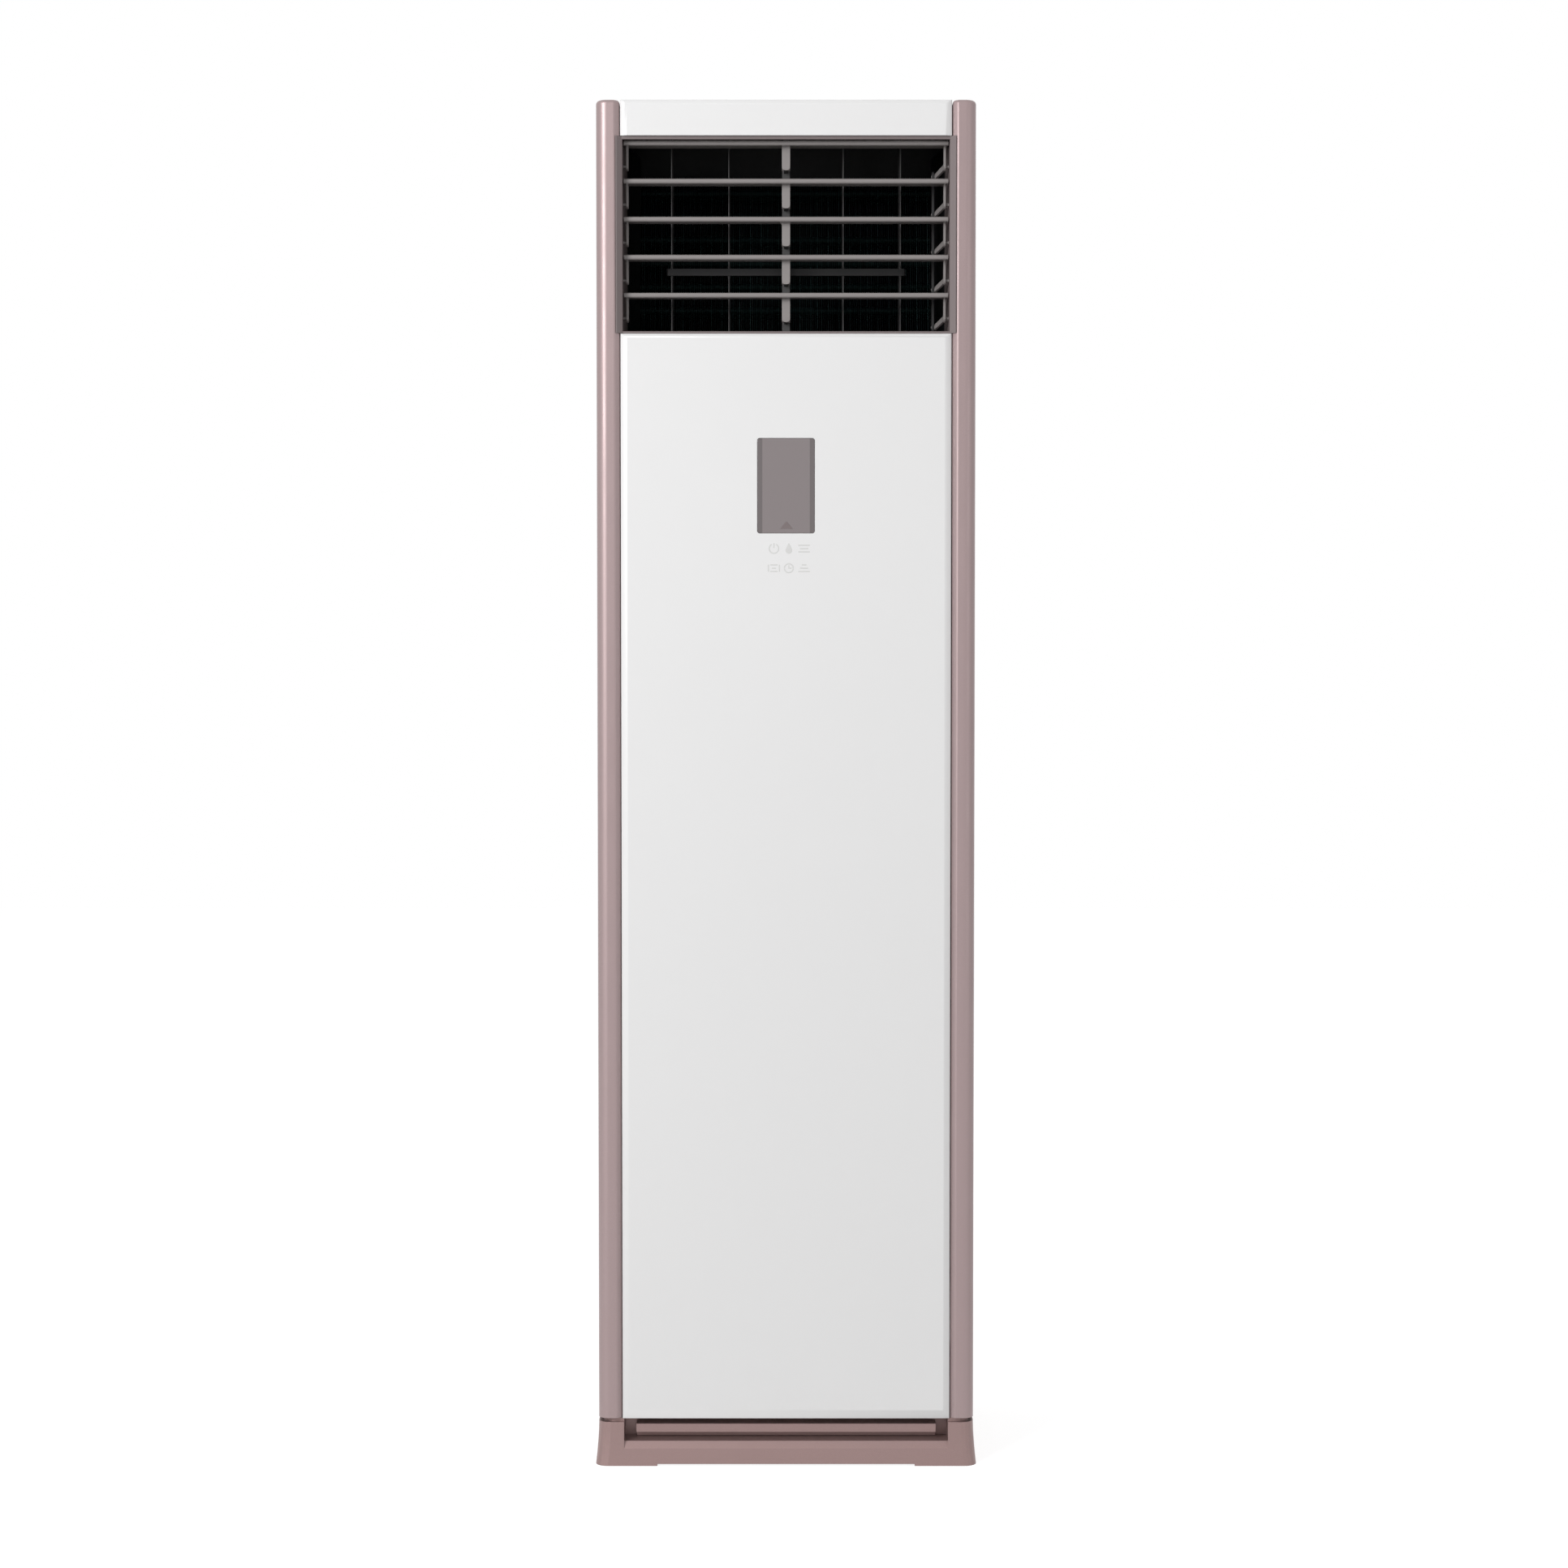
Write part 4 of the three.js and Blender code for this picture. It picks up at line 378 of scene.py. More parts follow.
@dataclass(frozen=True)
class Finish:
    """Satin moulded plastic, and the base of every other finish.

    Attributes:
        slot: Record slot that it stands for.
        colour: Linear base colour.
        roughness: Mean roughness.
        grain: Texture features per metre.
        relief: Depth of the texture in metres.
        edge: Radius of the softened edges in metres.
        mottle: Share by which the colour wanders.
        coat: Weight of the clear coat.
    """

    slot: Slot
    colour: Colour
    roughness: float = 0.45
    grain: float = 1400.0
    relief: float = 0.00002
    edge: float = 0.0005
    mottle: float = 0.03
    coat: float = 0.0

    def build(self) -> bpy.types.Material:
        """Make the material.

        Returns:
            The finished material.
        """
        graph = Graph(self.slot.value)
        self.shade(graph)
        return graph.material

    def base_colour(self, graph: Graph) -> bpy.types.NodeSocket:
        """The base colour with its slow variation.

        Args:
            graph: Where to add the nodes.

        Returns:
            The colour socket.
        """
        wander = graph.noise(3.0, 3.0)
        return graph.blend(
            wander, shaded(self.colour, 1 - self.mottle), shaded(self.colour, 1 + self.mottle)
        )

    def skin(self, graph: Graph) -> None:
        """Fine texture, roughness variation and softened edges.

        Args:
            graph: Where to add the nodes.
        """
        grain = graph.noise(self.grain, 2.0)
        normal = graph.bump(grain, self.relief, below=graph.rounded(self.edge))
        graph.set("Normal", normal)
        smears = graph.noise(14.0, 4.0)
        spread = 0.12 * self.roughness
        level = (self.roughness - spread, self.roughness + spread)
        graph.set("Roughness", graph.ramp(smears, 0.3, 0.7, level))

    def shade(self, graph: Graph) -> None:
        """Wire the shader.

        Args:
            graph: Where to add the nodes.
        """
        graph.set("Base Color", self.base_colour(graph))
        self.skin(graph)
        if self.coat:
            graph.set("Coat Weight", self.coat)
            graph.set("Coat Roughness", 0.12)


@dataclass(frozen=True)
class Lacquer(Finish):
    """Metallic lacquer: fine flakes under a satin coat."""

    metallic: float = 0.5
    flake: float = 5200.0

    def shade(self, graph: Graph) -> None:
        """Wire the shader.

        Args:
            graph: Where to add the nodes.
        """
        dull, bright = shaded(self.colour, 0.9), shaded(self.colour, 1.1)
        graph.set("Base Color", graph.blend(graph.specks(self.flake), dull, bright))
        graph.set("Metallic", self.metallic)
        self.skin(graph)
        graph.set("Coat Weight", self.coat)
        graph.set("Coat Roughness", 0.25)


@dataclass(frozen=True)
class PowderCoat(Finish):
    """Powder coated sheet: a fine orange peel over faint rolling waves."""

    def shade(self, graph: Graph) -> None:
        """Wire the shader.

        Args:
            graph: Where to add the nodes.
        """
        graph.set("Base Color", self.base_colour(graph))
        self.skin(graph)
        peel = graph.cells(self.grain, "SMOOTH_F1").outputs["Distance"]
        waves = graph.bump(graph.noise(9.0, 1.0), 0.00015, below=graph.rounded(self.edge))
        graph.set("Normal", graph.bump(peel, self.relief, below=waves))


@dataclass(frozen=True)
class Galvanised(Finish):
    """Zinc coated steel with its spangle."""

    def shade(self, graph: Graph) -> None:
        """Wire the shader.

        Args:
            graph: Where to add the nodes.
        """
        tone = graph.specks(160.0)
        dull, bright = shaded(self.colour, 0.8), shaded(self.colour, 1.12)
        graph.set("Base Color", graph.blend(tone, dull, bright))
        graph.set("Metallic", 0.9)
        level = (self.roughness - 0.1, self.roughness + 0.1)
        graph.set("Roughness", graph.ramp(tone, 0.0, 1.0, level))
        graph.set("Normal", graph.rounded(self.edge))


@dataclass(frozen=True)
class Drawn(Finish):
    """Drawn or brushed metal with lengthwise streaks and stains."""

    stretch: Point = (1, 1, 0.04)

    def shade(self, graph: Graph) -> None:
        """Wire the shader.

        Args:
            graph: Where to add the nodes.
        """
        streaks = graph.noise(self.grain, 3.0, self.stretch)
        stain = graph.noise(24.0, 4.0)
        bright = graph.blend(streaks, shaded(self.colour, 0.86), shaded(self.colour, 1.1))
        dulled = graph.ramp(stain, 0.5, 0.8, (0.0, 0.55))
        graph.set("Base Color", graph.blend(dulled, bright, shaded(self.colour, 0.45)))
        graph.set("Metallic", 1.0)
        low, high = self.roughness - 0.08, self.roughness + 0.16
        graph.set("Roughness", graph.ramp(stain, 0.3, 0.8, (low, high)))
        graph.set("Normal", graph.bump(streaks, self.relief, below=graph.rounded(self.edge)))


@dataclass(frozen=True)
class Foam(Finish):
    """Moulded bead foam: closed cells pressed against each other."""

    def shade(self, graph: Graph) -> None:
        """Wire the shader.

        Args:
            graph: Where to add the nodes.
        """
        beads = graph.cells(260.0, "DISTANCE_TO_EDGE").outputs["Distance"]
        seams = graph.ramp(beads, 0.0, 0.12, (0.0, 1.0))
        graph.set("Base Color", graph.blend(seams, shaded(self.colour, 0.86), self.colour))
        graph.set("Roughness", self.roughness)
        graph.set("Normal", graph.bump(seams, 0.0003, below=graph.rounded(self.edge)))


@dataclass(frozen=True)
class FinStock(Finish):
    """Coated aluminium fins, with a dark line of painted shade for each fin edge."""

    pitch: float = 0.0018

    def shade(self, graph: Graph) -> None:
        """Wire the shader.

        Args:
            graph: Where to add the nodes.
        """
        lines = graph.waves(math.pi / (10 * self.pitch), "X")
        # Dark bands of painted shade between the fins
        shadow = graph.ramp(lines, 0.25, 0.75, (1.0, 0.0))
        graph.set("Base Color", graph.blend(shadow, self.colour, shaded(self.colour, 0.25)))
        graph.set("Metallic", 0.55)
        graph.set("Roughness", self.roughness)
        graph.set("Normal", graph.bump(lines, 0.0004))


@dataclass(frozen=True)
class Net(Finish):
    """Dark frame whose membrane carries a square mesh."""

    mesh: float = 0.0016

    def shade(self, graph: Graph) -> None:
        """Wire the shader.

        Args:
            graph: Where to add the nodes.
        """
        per_metre = math.pi / (10 * self.mesh)
        warp = graph.ramp(graph.waves(per_metre, "Y"), 0.45, 0.7, (0.0, 1.0))
        weft = graph.ramp(graph.waves(per_metre, "Z"), 0.45, 0.7, (0.0, 1.0))
        threads = graph.node("Math", operation="MAXIMUM")
        graph.link(warp, threads.inputs[0])
        graph.link(weft, threads.inputs[1])
        colour = graph.blend(threads.outputs[0], shaded(self.colour, 0.35), self.colour)
        graph.set("Base Color", colour)
        graph.set("Roughness", self.roughness)
        graph.set("Normal", graph.bump(threads.outputs[0], 0.0003, below=graph.rounded(self.edge)))


@dataclass(frozen=True)
class SmokedWindow(Finish):
    """Smoked window, darker along its two upright edges."""

    strip: float = 0.0062

    def shade(self, graph: Graph) -> None:
        """Wire the shader.

        Args:
            graph: Where to add the nodes.
        """
        across = graph.node("Math", operation="ABSOLUTE")
        graph.link(graph.position(0), across.inputs[0])
        inner = WINDOW_HALF * MM - self.strip
        edge = graph.ramp(across.outputs[0], inner - 0.0004, inner + 0.0004, (0.0, 1.0))
        colour = graph.blend(edge, self.base_colour(graph), shaded(self.colour, 0.62))
        graph.set("Base Color", colour)
        self.skin(graph)
        graph.set("Coat Weight", self.coat)
        graph.set("Coat Roughness", 0.08)


@dataclass(frozen=True)
class CircuitBoard(Finish):
    """Green board with copper traces under its lacquer."""

    def shade(self, graph: Graph) -> None:
        """Wire the shader.

        Args:
            graph: Where to add the nodes.
        """
        cells = graph.cells(170.0, "DISTANCE_TO_EDGE").outputs["Distance"]
        traces = graph.ramp(cells, 0.04, 0.09, (1.0, 0.0))
        graph.set("Base Color", graph.blend(traces, self.colour, shaded(self.colour, 1.9)))
        graph.set("Roughness", self.roughness)
        graph.set("Normal", graph.bump(traces, 0.0001, below=graph.rounded(self.edge)))
        graph.set("Coat Weight", self.coat)


FINISHES: tuple[Finish, ...] = (
    Finish(Slot.WHITE, (0.86, 0.86, 0.86), 0.34, 900.0, 0.000012, 0.0012, mottle=0.006, coat=0.25),
    Lacquer(Slot.ROSE, (0.365, 0.276, 0.277), 0.42, 1500.0, 0.00001, 0.001, mottle=0.02, coat=0.2),
    Lacquer(Slot.BASE, (0.31, 0.209, 0.2), 0.44, 1500.0, 0.00001, 0.001, mottle=0.02, coat=0.2),
    Finish(Slot.FRAME, (0.19, 0.155, 0.155), 0.5, 1600.0, 0.00002, 0.0006),
    Finish(Slot.LOUVER, (0.27, 0.25, 0.245), 0.4, 1800.0, 0.00001, 0.0004),
    Finish(Slot.VANE, (0.045, 0.044, 0.044), 0.5, 1600.0, 0.00002, 0.0004),
    Finish(Slot.DARK, (0.012, 0.012, 0.013), 0.55, 1600.0, 0.00003, 0.0006),
    SmokedWindow(
        Slot.WINDOW, (0.232, 0.2, 0.203), 0.22, 2400.0, 0.000004, 0.0008, mottle=0.02, coat=0.5
    ),
    Galvanised(Slot.STEEL, (0.56, 0.57, 0.58), 0.38, edge=0.0004),
    PowderCoat(Slot.PAINTED, (0.72, 0.72, 0.71), 0.42, 1100.0, 0.00003, 0.0006, mottle=0.01),
    FinStock(Slot.FINS, (0.03, 0.075, 0.072), 0.45),
    Drawn(Slot.COPPER, (0.62, 0.27, 0.13), 0.26, 1200.0, 0.00001, 0.0003),
    Foam(Slot.FOAM, (0.72, 0.72, 0.71), 0.85, edge=0.0015),
    Finish(Slot.FAN, (0.045, 0.05, 0.055), 0.48, 1500.0, 0.00003, 0.0005),
    PowderCoat(Slot.MOTOR, (0.095, 0.105, 0.115), 0.4, 1300.0, 0.00003, 0.001),
    Net(Slot.NET, (0.05, 0.055, 0.062), 0.7, edge=0.0006),
    CircuitBoard(Slot.BOARD, (0.018, 0.12, 0.045), 0.4, edge=0.0003, coat=0.4),
    Finish(Slot.BLACK, (0.016, 0.017, 0.019), 0.5, 1500.0, 0.00002, 0.0005),
    Finish(Slot.PIPE, (0.62, 0.62, 0.58), 0.5, 900.0, 0.00003, 0.0008),
)


class Palette:
    """The built materials, by slot."""

    def __init__(self, finishes: Iterable[Finish]) -> None:
        """Build every finish.

        Args:
            finishes: One finish for each slot.
        """
        self.materials = {finish.slot: finish.build() for finish in finishes}

    def __getitem__(self, slot: Slot) -> bpy.types.Material:
        """The material of a slot."""
        return self.materials[slot]

    def dress(self, frame: dict) -> None:
        """Give every node of the frame its material and softened, smooth edges.
        """
        for part in frame["record"]["subparts"]:
            node = frame["nodes"][part["node"]]
            node.data.materials.clear()
            # Link bars take the near-black slot instead of their own: painted shade
            slot = Slot.DARK if part["node"] in LINKS_IN_PAINTED_SHADE else Slot(part["material_slot"])
            node.data.materials.append(self[slot])
            smooth(node, SMOOTH_ANGLE)


def smooth(piece: bpy.types.Object, angle: float) -> None:
    """Shade a piece smooth up to an angle, with flat faces kept flat.

    Args:
        piece: Mesh object.
        angle: Sharpest smooth edge, in degrees.
    """
    piece.data.shade_smooth()
    piece.data.set_sharp_from_angle(angle=math.radians(angle))
    weighted = piece.modifiers.new("normals", "WEIGHTED_NORMAL")
    weighted.keep_sharp = True


# Outlines


def arc(u: float, v: float, radius: float, start: float, end: float, steps: int) -> Outline:
    """Points on an arc.

    Args:
        u: Centre.
        v: Centre.
        radius: Radius.
        start: First angle in degrees.
        end: Last angle in degrees.
        steps: Number of segments.

    Returns:
        steps + 1 points.
    """
    angles = (math.radians(start + (end - start) * i / steps) for i in range(steps + 1))
    return [(u + radius * math.cos(a), v + radius * math.sin(a)) for a in angles]


def round_rect(
    u0: float, u1: float, v0: float, v1: float, radius: float, steps: int = 8
) -> Outline:
    """An anticlockwise rectangle with rounded corners.

    Args:
        u0: Lowest u.
        u1: Highest u.
        v0: Lowest v.
        v1: Highest v.
        radius: Corner radius.
        steps: Segments in each corner.

    Returns:
        The outline.
    """
    corners = (
        (u1 - radius, v0 + radius, 270.0),
        (u1 - radius, v1 - radius, 0.0),
        (u0 + radius, v1 - radius, 90.0),
        (u0 + radius, v0 + radius, 180.0),
    )
    return [p for u, v, turn in corners for p in arc(u, v, radius, turn, turn + 90, steps)]


def inset(outline: Outline, distance: float) -> Outline:
    """Move every side of an anticlockwise outline inwards.

    Args:
        outline: Closed outline.
        distance: How far.

    Returns:
        The moved outline, point for point.
    """
    moved = []
    for i, point in enumerate(outline):
        before, after = Vector(outline[i - 1]), Vector(outline[(i + 1) % len(outline)])
        here = Vector(point)
        first, second = (here - before).normalized(), (after - here).normalized()
        normal = Vector((-first.y - second.y, first.x + second.x))
        reach = 1 + first.dot(second)
        moved.append(tuple(here + normal * (distance / reach)))
    return moved


def mirrored(outline: Outline) -> Outline:
    """An outline mirrored in u, still anticlockwise."""
    return [(-u, v) for u, v in reversed(outline)]


def plain_box(half: float, low: float, high: float) -> Outline:
    """A plain rectangle about x = 0, from its foot to its head."""
    return [(-half, low), (half, low), (half, high), (-half, high)]


class Axis(Enum):
    """How an outline's (u, v) and a distance along the axis become a point."""

    X = "x"
    Y = "y"
    Z = "z"

    def point(self, u: float, v: float, along: float) -> Point:
        """Place a point.

        Args:
            u: First coordinate of the outline.
            v: Second coordinate of the outline.
            along: Distance along the axis.

        Returns:
            The point.
        """
        if self is Axis.X:
            return (along, u, v)
        if self is Axis.Y:
            return (u, along, v)
        return (u, v, along)


class Shape:
    """A mesh being built, in millimetres."""

    def __init__(self) -> None:
        """Start an empty mesh."""
        self.mesh = bmesh.new()

    def ring(self, points: Iterable[Point]) -> list[bmesh.types.BMVert]:
        """Add the corners of one ring."""
        return [self.mesh.verts.new(p) for p in points]

    def loft(self, rings: Sequence[Iterable[Point]], caps: bool = True) -> list[list]:
        """Skin a row of rings with the same number of corners.

        Args:
            rings: The rings in order.
            caps: Close the first and the last ring.

        Returns:
            The vertices of each ring.
        """
        rows = [self.ring(r) for r in rings]
        for low, high in zip(rows, rows[1:]):
            for i in range(len(low)):
                k = (i + 1) % len(low)
                self.mesh.faces.new((low[i], low[k], high[k], high[i]))
        if caps:
            self.mesh.faces.new(reversed(rows[0]))
            self.mesh.faces.new(rows[-1])
        return rows

    def prism(self, axis: Axis, outline: Outline, start: float, end: float, edge: float = 0) -> None:
        """A prism with optionally rounded ends.

        Args:
            axis: Direction of the prism.
            outline: Its section.
            start: Where it begins.
            end: Where it ends.
            edge: Radius of the rounded ends.
        """
        stations = [(start, 0.0), (end, 0.0)]
        if edge:
            turn = [(edge * (1 - math.sin(a)), edge * (1 - math.cos(a))) for a in
                    (math.pi / 2 * k / 3 for k in range(4))]
            stations = [(start + back, inward) for inward, back in turn]
            stations += [(end - back, inward) for inward, back in reversed(turn)]
        self.loft([[axis.point(u, v, along) for u, v in inset(outline, inward)]
                   for along, inward in stations])

    def rod(
        self, axis: Axis, radius: float, start: float, end: float, u: float, v: float
    ) -> None:
        """A round rod with broken edges.

        Args:
            axis: Direction of the rod.
            radius: Its radius.
            start: Where it begins.
            end: Where it ends.
            u: Centre.
            v: Centre.
        """
        self.prism(axis, arc(u, v, radius, 0, 360, 20)[:-1], start, end, min(0.4, radius / 4))

    def plate(self, axis: Axis, outline: Outline, hole: Outline, along: float) -> None:
        """A flat face with one hole.

        Args:
            axis: Direction that the face looks along.
            outline: Its edge.
            hole: Edge of the hole.
            along: Where it lies.
        """
        edges = []
        for loop in (outline, hole):
            row = self.ring([axis.point(u, v, along) for u, v in loop])
            edges += [self.mesh.edges.new((a, b)) for a, b in zip(row, row[1:] + row[:1])]
        bmesh.ops.triangle_fill(self.mesh, edges=edges, use_beauty=True)

    def piece(self, name: str, material: bpy.types.Material, angle: float) -> bpy.types.Object:
        """Finish the mesh.

        Args:
            name: Name of the new object.
            material: Its material.
            angle: Sharpest smooth edge, in degrees.

        Returns:
            The new object, in the scene.
        """
        bmesh.ops.remove_doubles(self.mesh, verts=self.mesh.verts, dist=1e-4)
        bmesh.ops.recalc_face_normals(self.mesh, faces=self.mesh.faces)
        bmesh.ops.scale(self.mesh, vec=(MM, MM, MM), verts=self.mesh.verts)
        data = bpy.data.meshes.new(name)
        self.mesh.to_mesh(data)
        self.mesh.free()
        data.materials.append(material)
        made = bpy.data.objects.new(name, data)
        bpy.context.scene.collection.objects.link(made)
        smooth(made, angle)
        return made


# Sub-assemblies


@dataclass
class Assembly:
    """What every sub-assembly needs.

    Attributes:
        palette: Built materials.
    """

    frame: dict
    palette: Palette

    def fit(
        self,
        shape: Shape,
        name: str,
        slot: Slot,
        body: str = "cabinet",
        replaces: Sequence[str] = (),
        place: Point = (0, 0, 0),
        angle: float = SMOOTH_ANGLE,
    ) -> bpy.types.Object:
        """Finish a piece and hang it on its body.

        Args:
            shape: The built mesh.
            name: Name of the piece.
            slot: Slot of its finish.
            body: Body that it rides on.
            replaces: Nodes that it stands for.
            place: Place of its origin in millimetres.
            angle: Sharpest smooth edge, in degrees.

        Returns:
            The placed piece.
        """
        made = shape.piece(name, self.palette[slot], angle)
        made.location = Vector(place) * MM
        if replaces:
            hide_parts(*replaces)
        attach(made, body)
        return made


@dataclass
class FrontShell(Assembly):
    """Columns and front panels."""

    round_steps: int = 5
    bevel: Sequence[tuple[float, float]] = ((0.0, 6.6), (0.5, 5.2), (5.2, 0.9), (7.4, 0.0))
    roll: Sequence[tuple[float, float]] = (
        (1.12, 0.0), (1.04, 0.06), (0.95, 0.3), (0.5, 2.0), (0.08, 3.6), (0.0, 4.4),
    )
    widths: Point = (8, 11, 5)
    wall: float = 4.0
    rim: float = 6.0
    hole_radius: float = 3.3

    def build(self) -> None:
        """Build the sub-assembly."""
        for side, word in ((-1, "left"), (1, "right")):
            self.column(side, word)
        self.main_panel()
        self.upper_panel()

    def column(self, side: int, word: str) -> None:
        """A front column with a softly rounded section and top.

        Args:
            side: -1 on the left, 1 on the right.
            word: left or right.
        """
        section = [
            (COLUMN_INNER, COLUMN_REAR),
            *((COLUMN_INNER + out, FRONT + back) for out, back in self.bevel),
            *arc(HALF - COLUMN_CORNER, FRONT + COLUMN_CORNER, COLUMN_CORNER, 270, 360, 16),
            (HALF, COLUMN_REAR),
        ]
        outline = section if side > 0 else mirrored(section)
        turns = [math.pi / 2 * k / self.round_steps for k in range(self.round_steps + 1)]
        stations = [(CABINET_BOTTOM, 0.0)]
        stations += [
            (HEIGHT - EDGE_RADIUS * (1 - math.sin(a)), EDGE_RADIUS * (1 - math.cos(a)))
            for a in turns
        ]
        rings = [[(x, y, z) for x, y in inset(outline, inward)] for z, inward in stations]
        shape = Shape()
        rows = shape.loft(rings, caps=False)
        shape.mesh.faces.new(rows[-1])
        name = f"column_{word}"
        made = self.fit(shape, f"fine_{name}", Slot.ROSE, replaces=[name], angle=COLUMN_SMOOTH)
        wall = made.modifiers.new("wall", "SOLIDIFY")
        wall.thickness = COLUMN_WALL * MM
        wall.offset = -1
        made.modifiers.move(1, 0)

    def face_rings(self, low: float, high: float, side: float, foot: float, head: float) -> list:
        """Rings from the front face over the bevels to the rear edge.

        Args:
            low: Foot of the panel.
            high: Head of the panel.
            side: Width of the side bevels.
            foot: Height of the foot bevel.
            head: Height of the head bevel.

        Returns:
            (outline, y) pairs, front first.
        """
        rings = []
        for share, back in (*self.roll, (0.0, PANEL_DEPTH)):
            x = PANEL_HALF - side * share
            outline = [
                (-x, low + foot * share),
                (x, low + foot * share),
                (x, high - head * share),
                (-x, high - head * share),
            ]
            rings.append((outline, FRONT + back))
        return rings

    def main_panel(self) -> None:
        """The tall white panel with its bevels and the hole for the window."""
        rings = self.face_rings(PANEL_BOTTOM, PANEL_TOP, *self.widths)
        half, low, high = WINDOW_HALF + SEAT, WINDOW_LOW - SEAT, WINDOW_HIGH + SEAT
        hole = round_rect(-half, half, low, high, self.hole_radius)
        wall = FRONT + self.wall
        shape = Shape()
        shape.loft([[Axis.Y.point(u, v, y) for u, v in outline] for outline, y in rings], False)
        outline, rear = rings[-1]
        inner = inset(outline, self.rim)
        shape.loft([[Axis.Y.point(u, v, rear) for u, v in o] for o in (outline, inner)], False)
        shape.loft([[Axis.Y.point(u, v, y) for u, v in inner] for y in (rear, wall)], False)
        shape.loft([[Axis.Y.point(u, v, y) for u, v in hole] for y in (FRONT, wall)], False)
        shape.plate(Axis.Y, rings[0][0], hole, FRONT)
        shape.plate(Axis.Y, inner, hole, wall)
        self.fit(shape, "fine_front_panel", Slot.WHITE, replaces=["front_panel"], angle=PANEL_SMOOTH)

    def upper_panel(self) -> None:
        """The white strip over the outlet."""
        side, head = self.widths[0], self.widths[2]
        rings = self.face_rings(UPPER_BOTTOM, HEIGHT, side, 0, head)
        rings = [([(u, min(v, HEIGHT)) for u, v in outline], y) for outline, y in rings]
        shape = Shape()
        rows = [[Axis.Y.point(u, v, y) for u, v in outline] for outline, y in rings]
        inner = plain_box(PANEL_HALF - self.rim, UPPER_BOTTOM + 1, HEIGHT - self.rim)
        rear, wall = (
            [Axis.Y.point(u, v, FRONT + back) for u, v in inner] for back in (PANEL_DEPTH, self.wall)
        )
        shape.loft(rows, False)
        shape.mesh.faces.new(shape.ring(rows[0]))
        shape.loft([rows[-1], rear], False)
        shape.loft([rear, wall], False)
        shape.mesh.faces.new(shape.ring(wall))
        name = "fine_upper_panel"
        self.fit(shape, name, Slot.WHITE, replaces=["upper_front_panel"], angle=PANEL_SMOOTH)


@dataclass
class TouchSign:
    """A plain generic sign, drawn in strokes."""

    x: float
    z: float
    stroke: float = 1.5

    def block(self, left: float, right: float, low: float, high: float) -> Outline:
        """A stroke with rounded ends, measured from the middle of the sign.

        Args:
            left: Lowest x.
            right: Highest x.
            low: Lowest z.
            high: Highest z.

        Returns:
            The outline.
        """
        radius = self.stroke / 2 * 0.9
        return round_rect(self.x + left, self.x + right, self.z + low, self.z + high, radius, 4)

    def sweep(self, radius: float, start: float, end: float) -> Outline:
        """A curved stroke about the middle of the sign.

        Args:
            radius: Its outer radius.
            start: First angle in degrees.
            end: Last angle in degrees.

        Returns:
            The outline.
        """
        inner = radius - self.stroke
        return arc(self.x, self.z, radius, start, end, 24) + arc(self.x, self.z, inner, end, start, 24)

    def bars(self, *widths: float) -> list[Outline]:
        """Three level strokes of the given widths, from the top."""
        half, gap = self.stroke / 2, 4.2
        levels = [(gap * (1 - i), width / 2) for i, width in enumerate(widths)]
        return [self.block(-side, side, at - half, at + half) for at, side in levels]

    def power(self) -> list[Outline]:
        """An open ring with an upright stroke."""
        half = self.stroke / 2
        return [self.sweep(6.8, 118.0, 422.0), self.block(-half, half, 0.6, 7.0)]

    def drop(self) -> list[Outline]:
        """A drop of water."""
        x, z = self.x, self.z
        return [[*arc(x, z - 2.2, 4.2, 150, 390, 18), (x + 0.4, z + 6.6), (x - 0.4, z + 6.6)]]

    def framed(self) -> list[Outline]:
        """Three strokes between two posts."""
        half, reach, rise = self.stroke / 2, 7.0, 4.6
        posts = [self.block(at - half, at + half, -rise, rise) for at in (-reach, reach)]
        return posts + self.bars(9.6, 5.4, 9.6)

    def clock(self) -> list[Outline]:
        """A ring of two halves with two hands."""
        half = self.stroke / 2
        ring = [self.sweep(6.4, start, start + 176.0) for start in (2.0, 182.0)]
        return [*ring, self.block(-half, half, -half, 4.0), self.block(half + 0.1, 3.6, -half, half)]


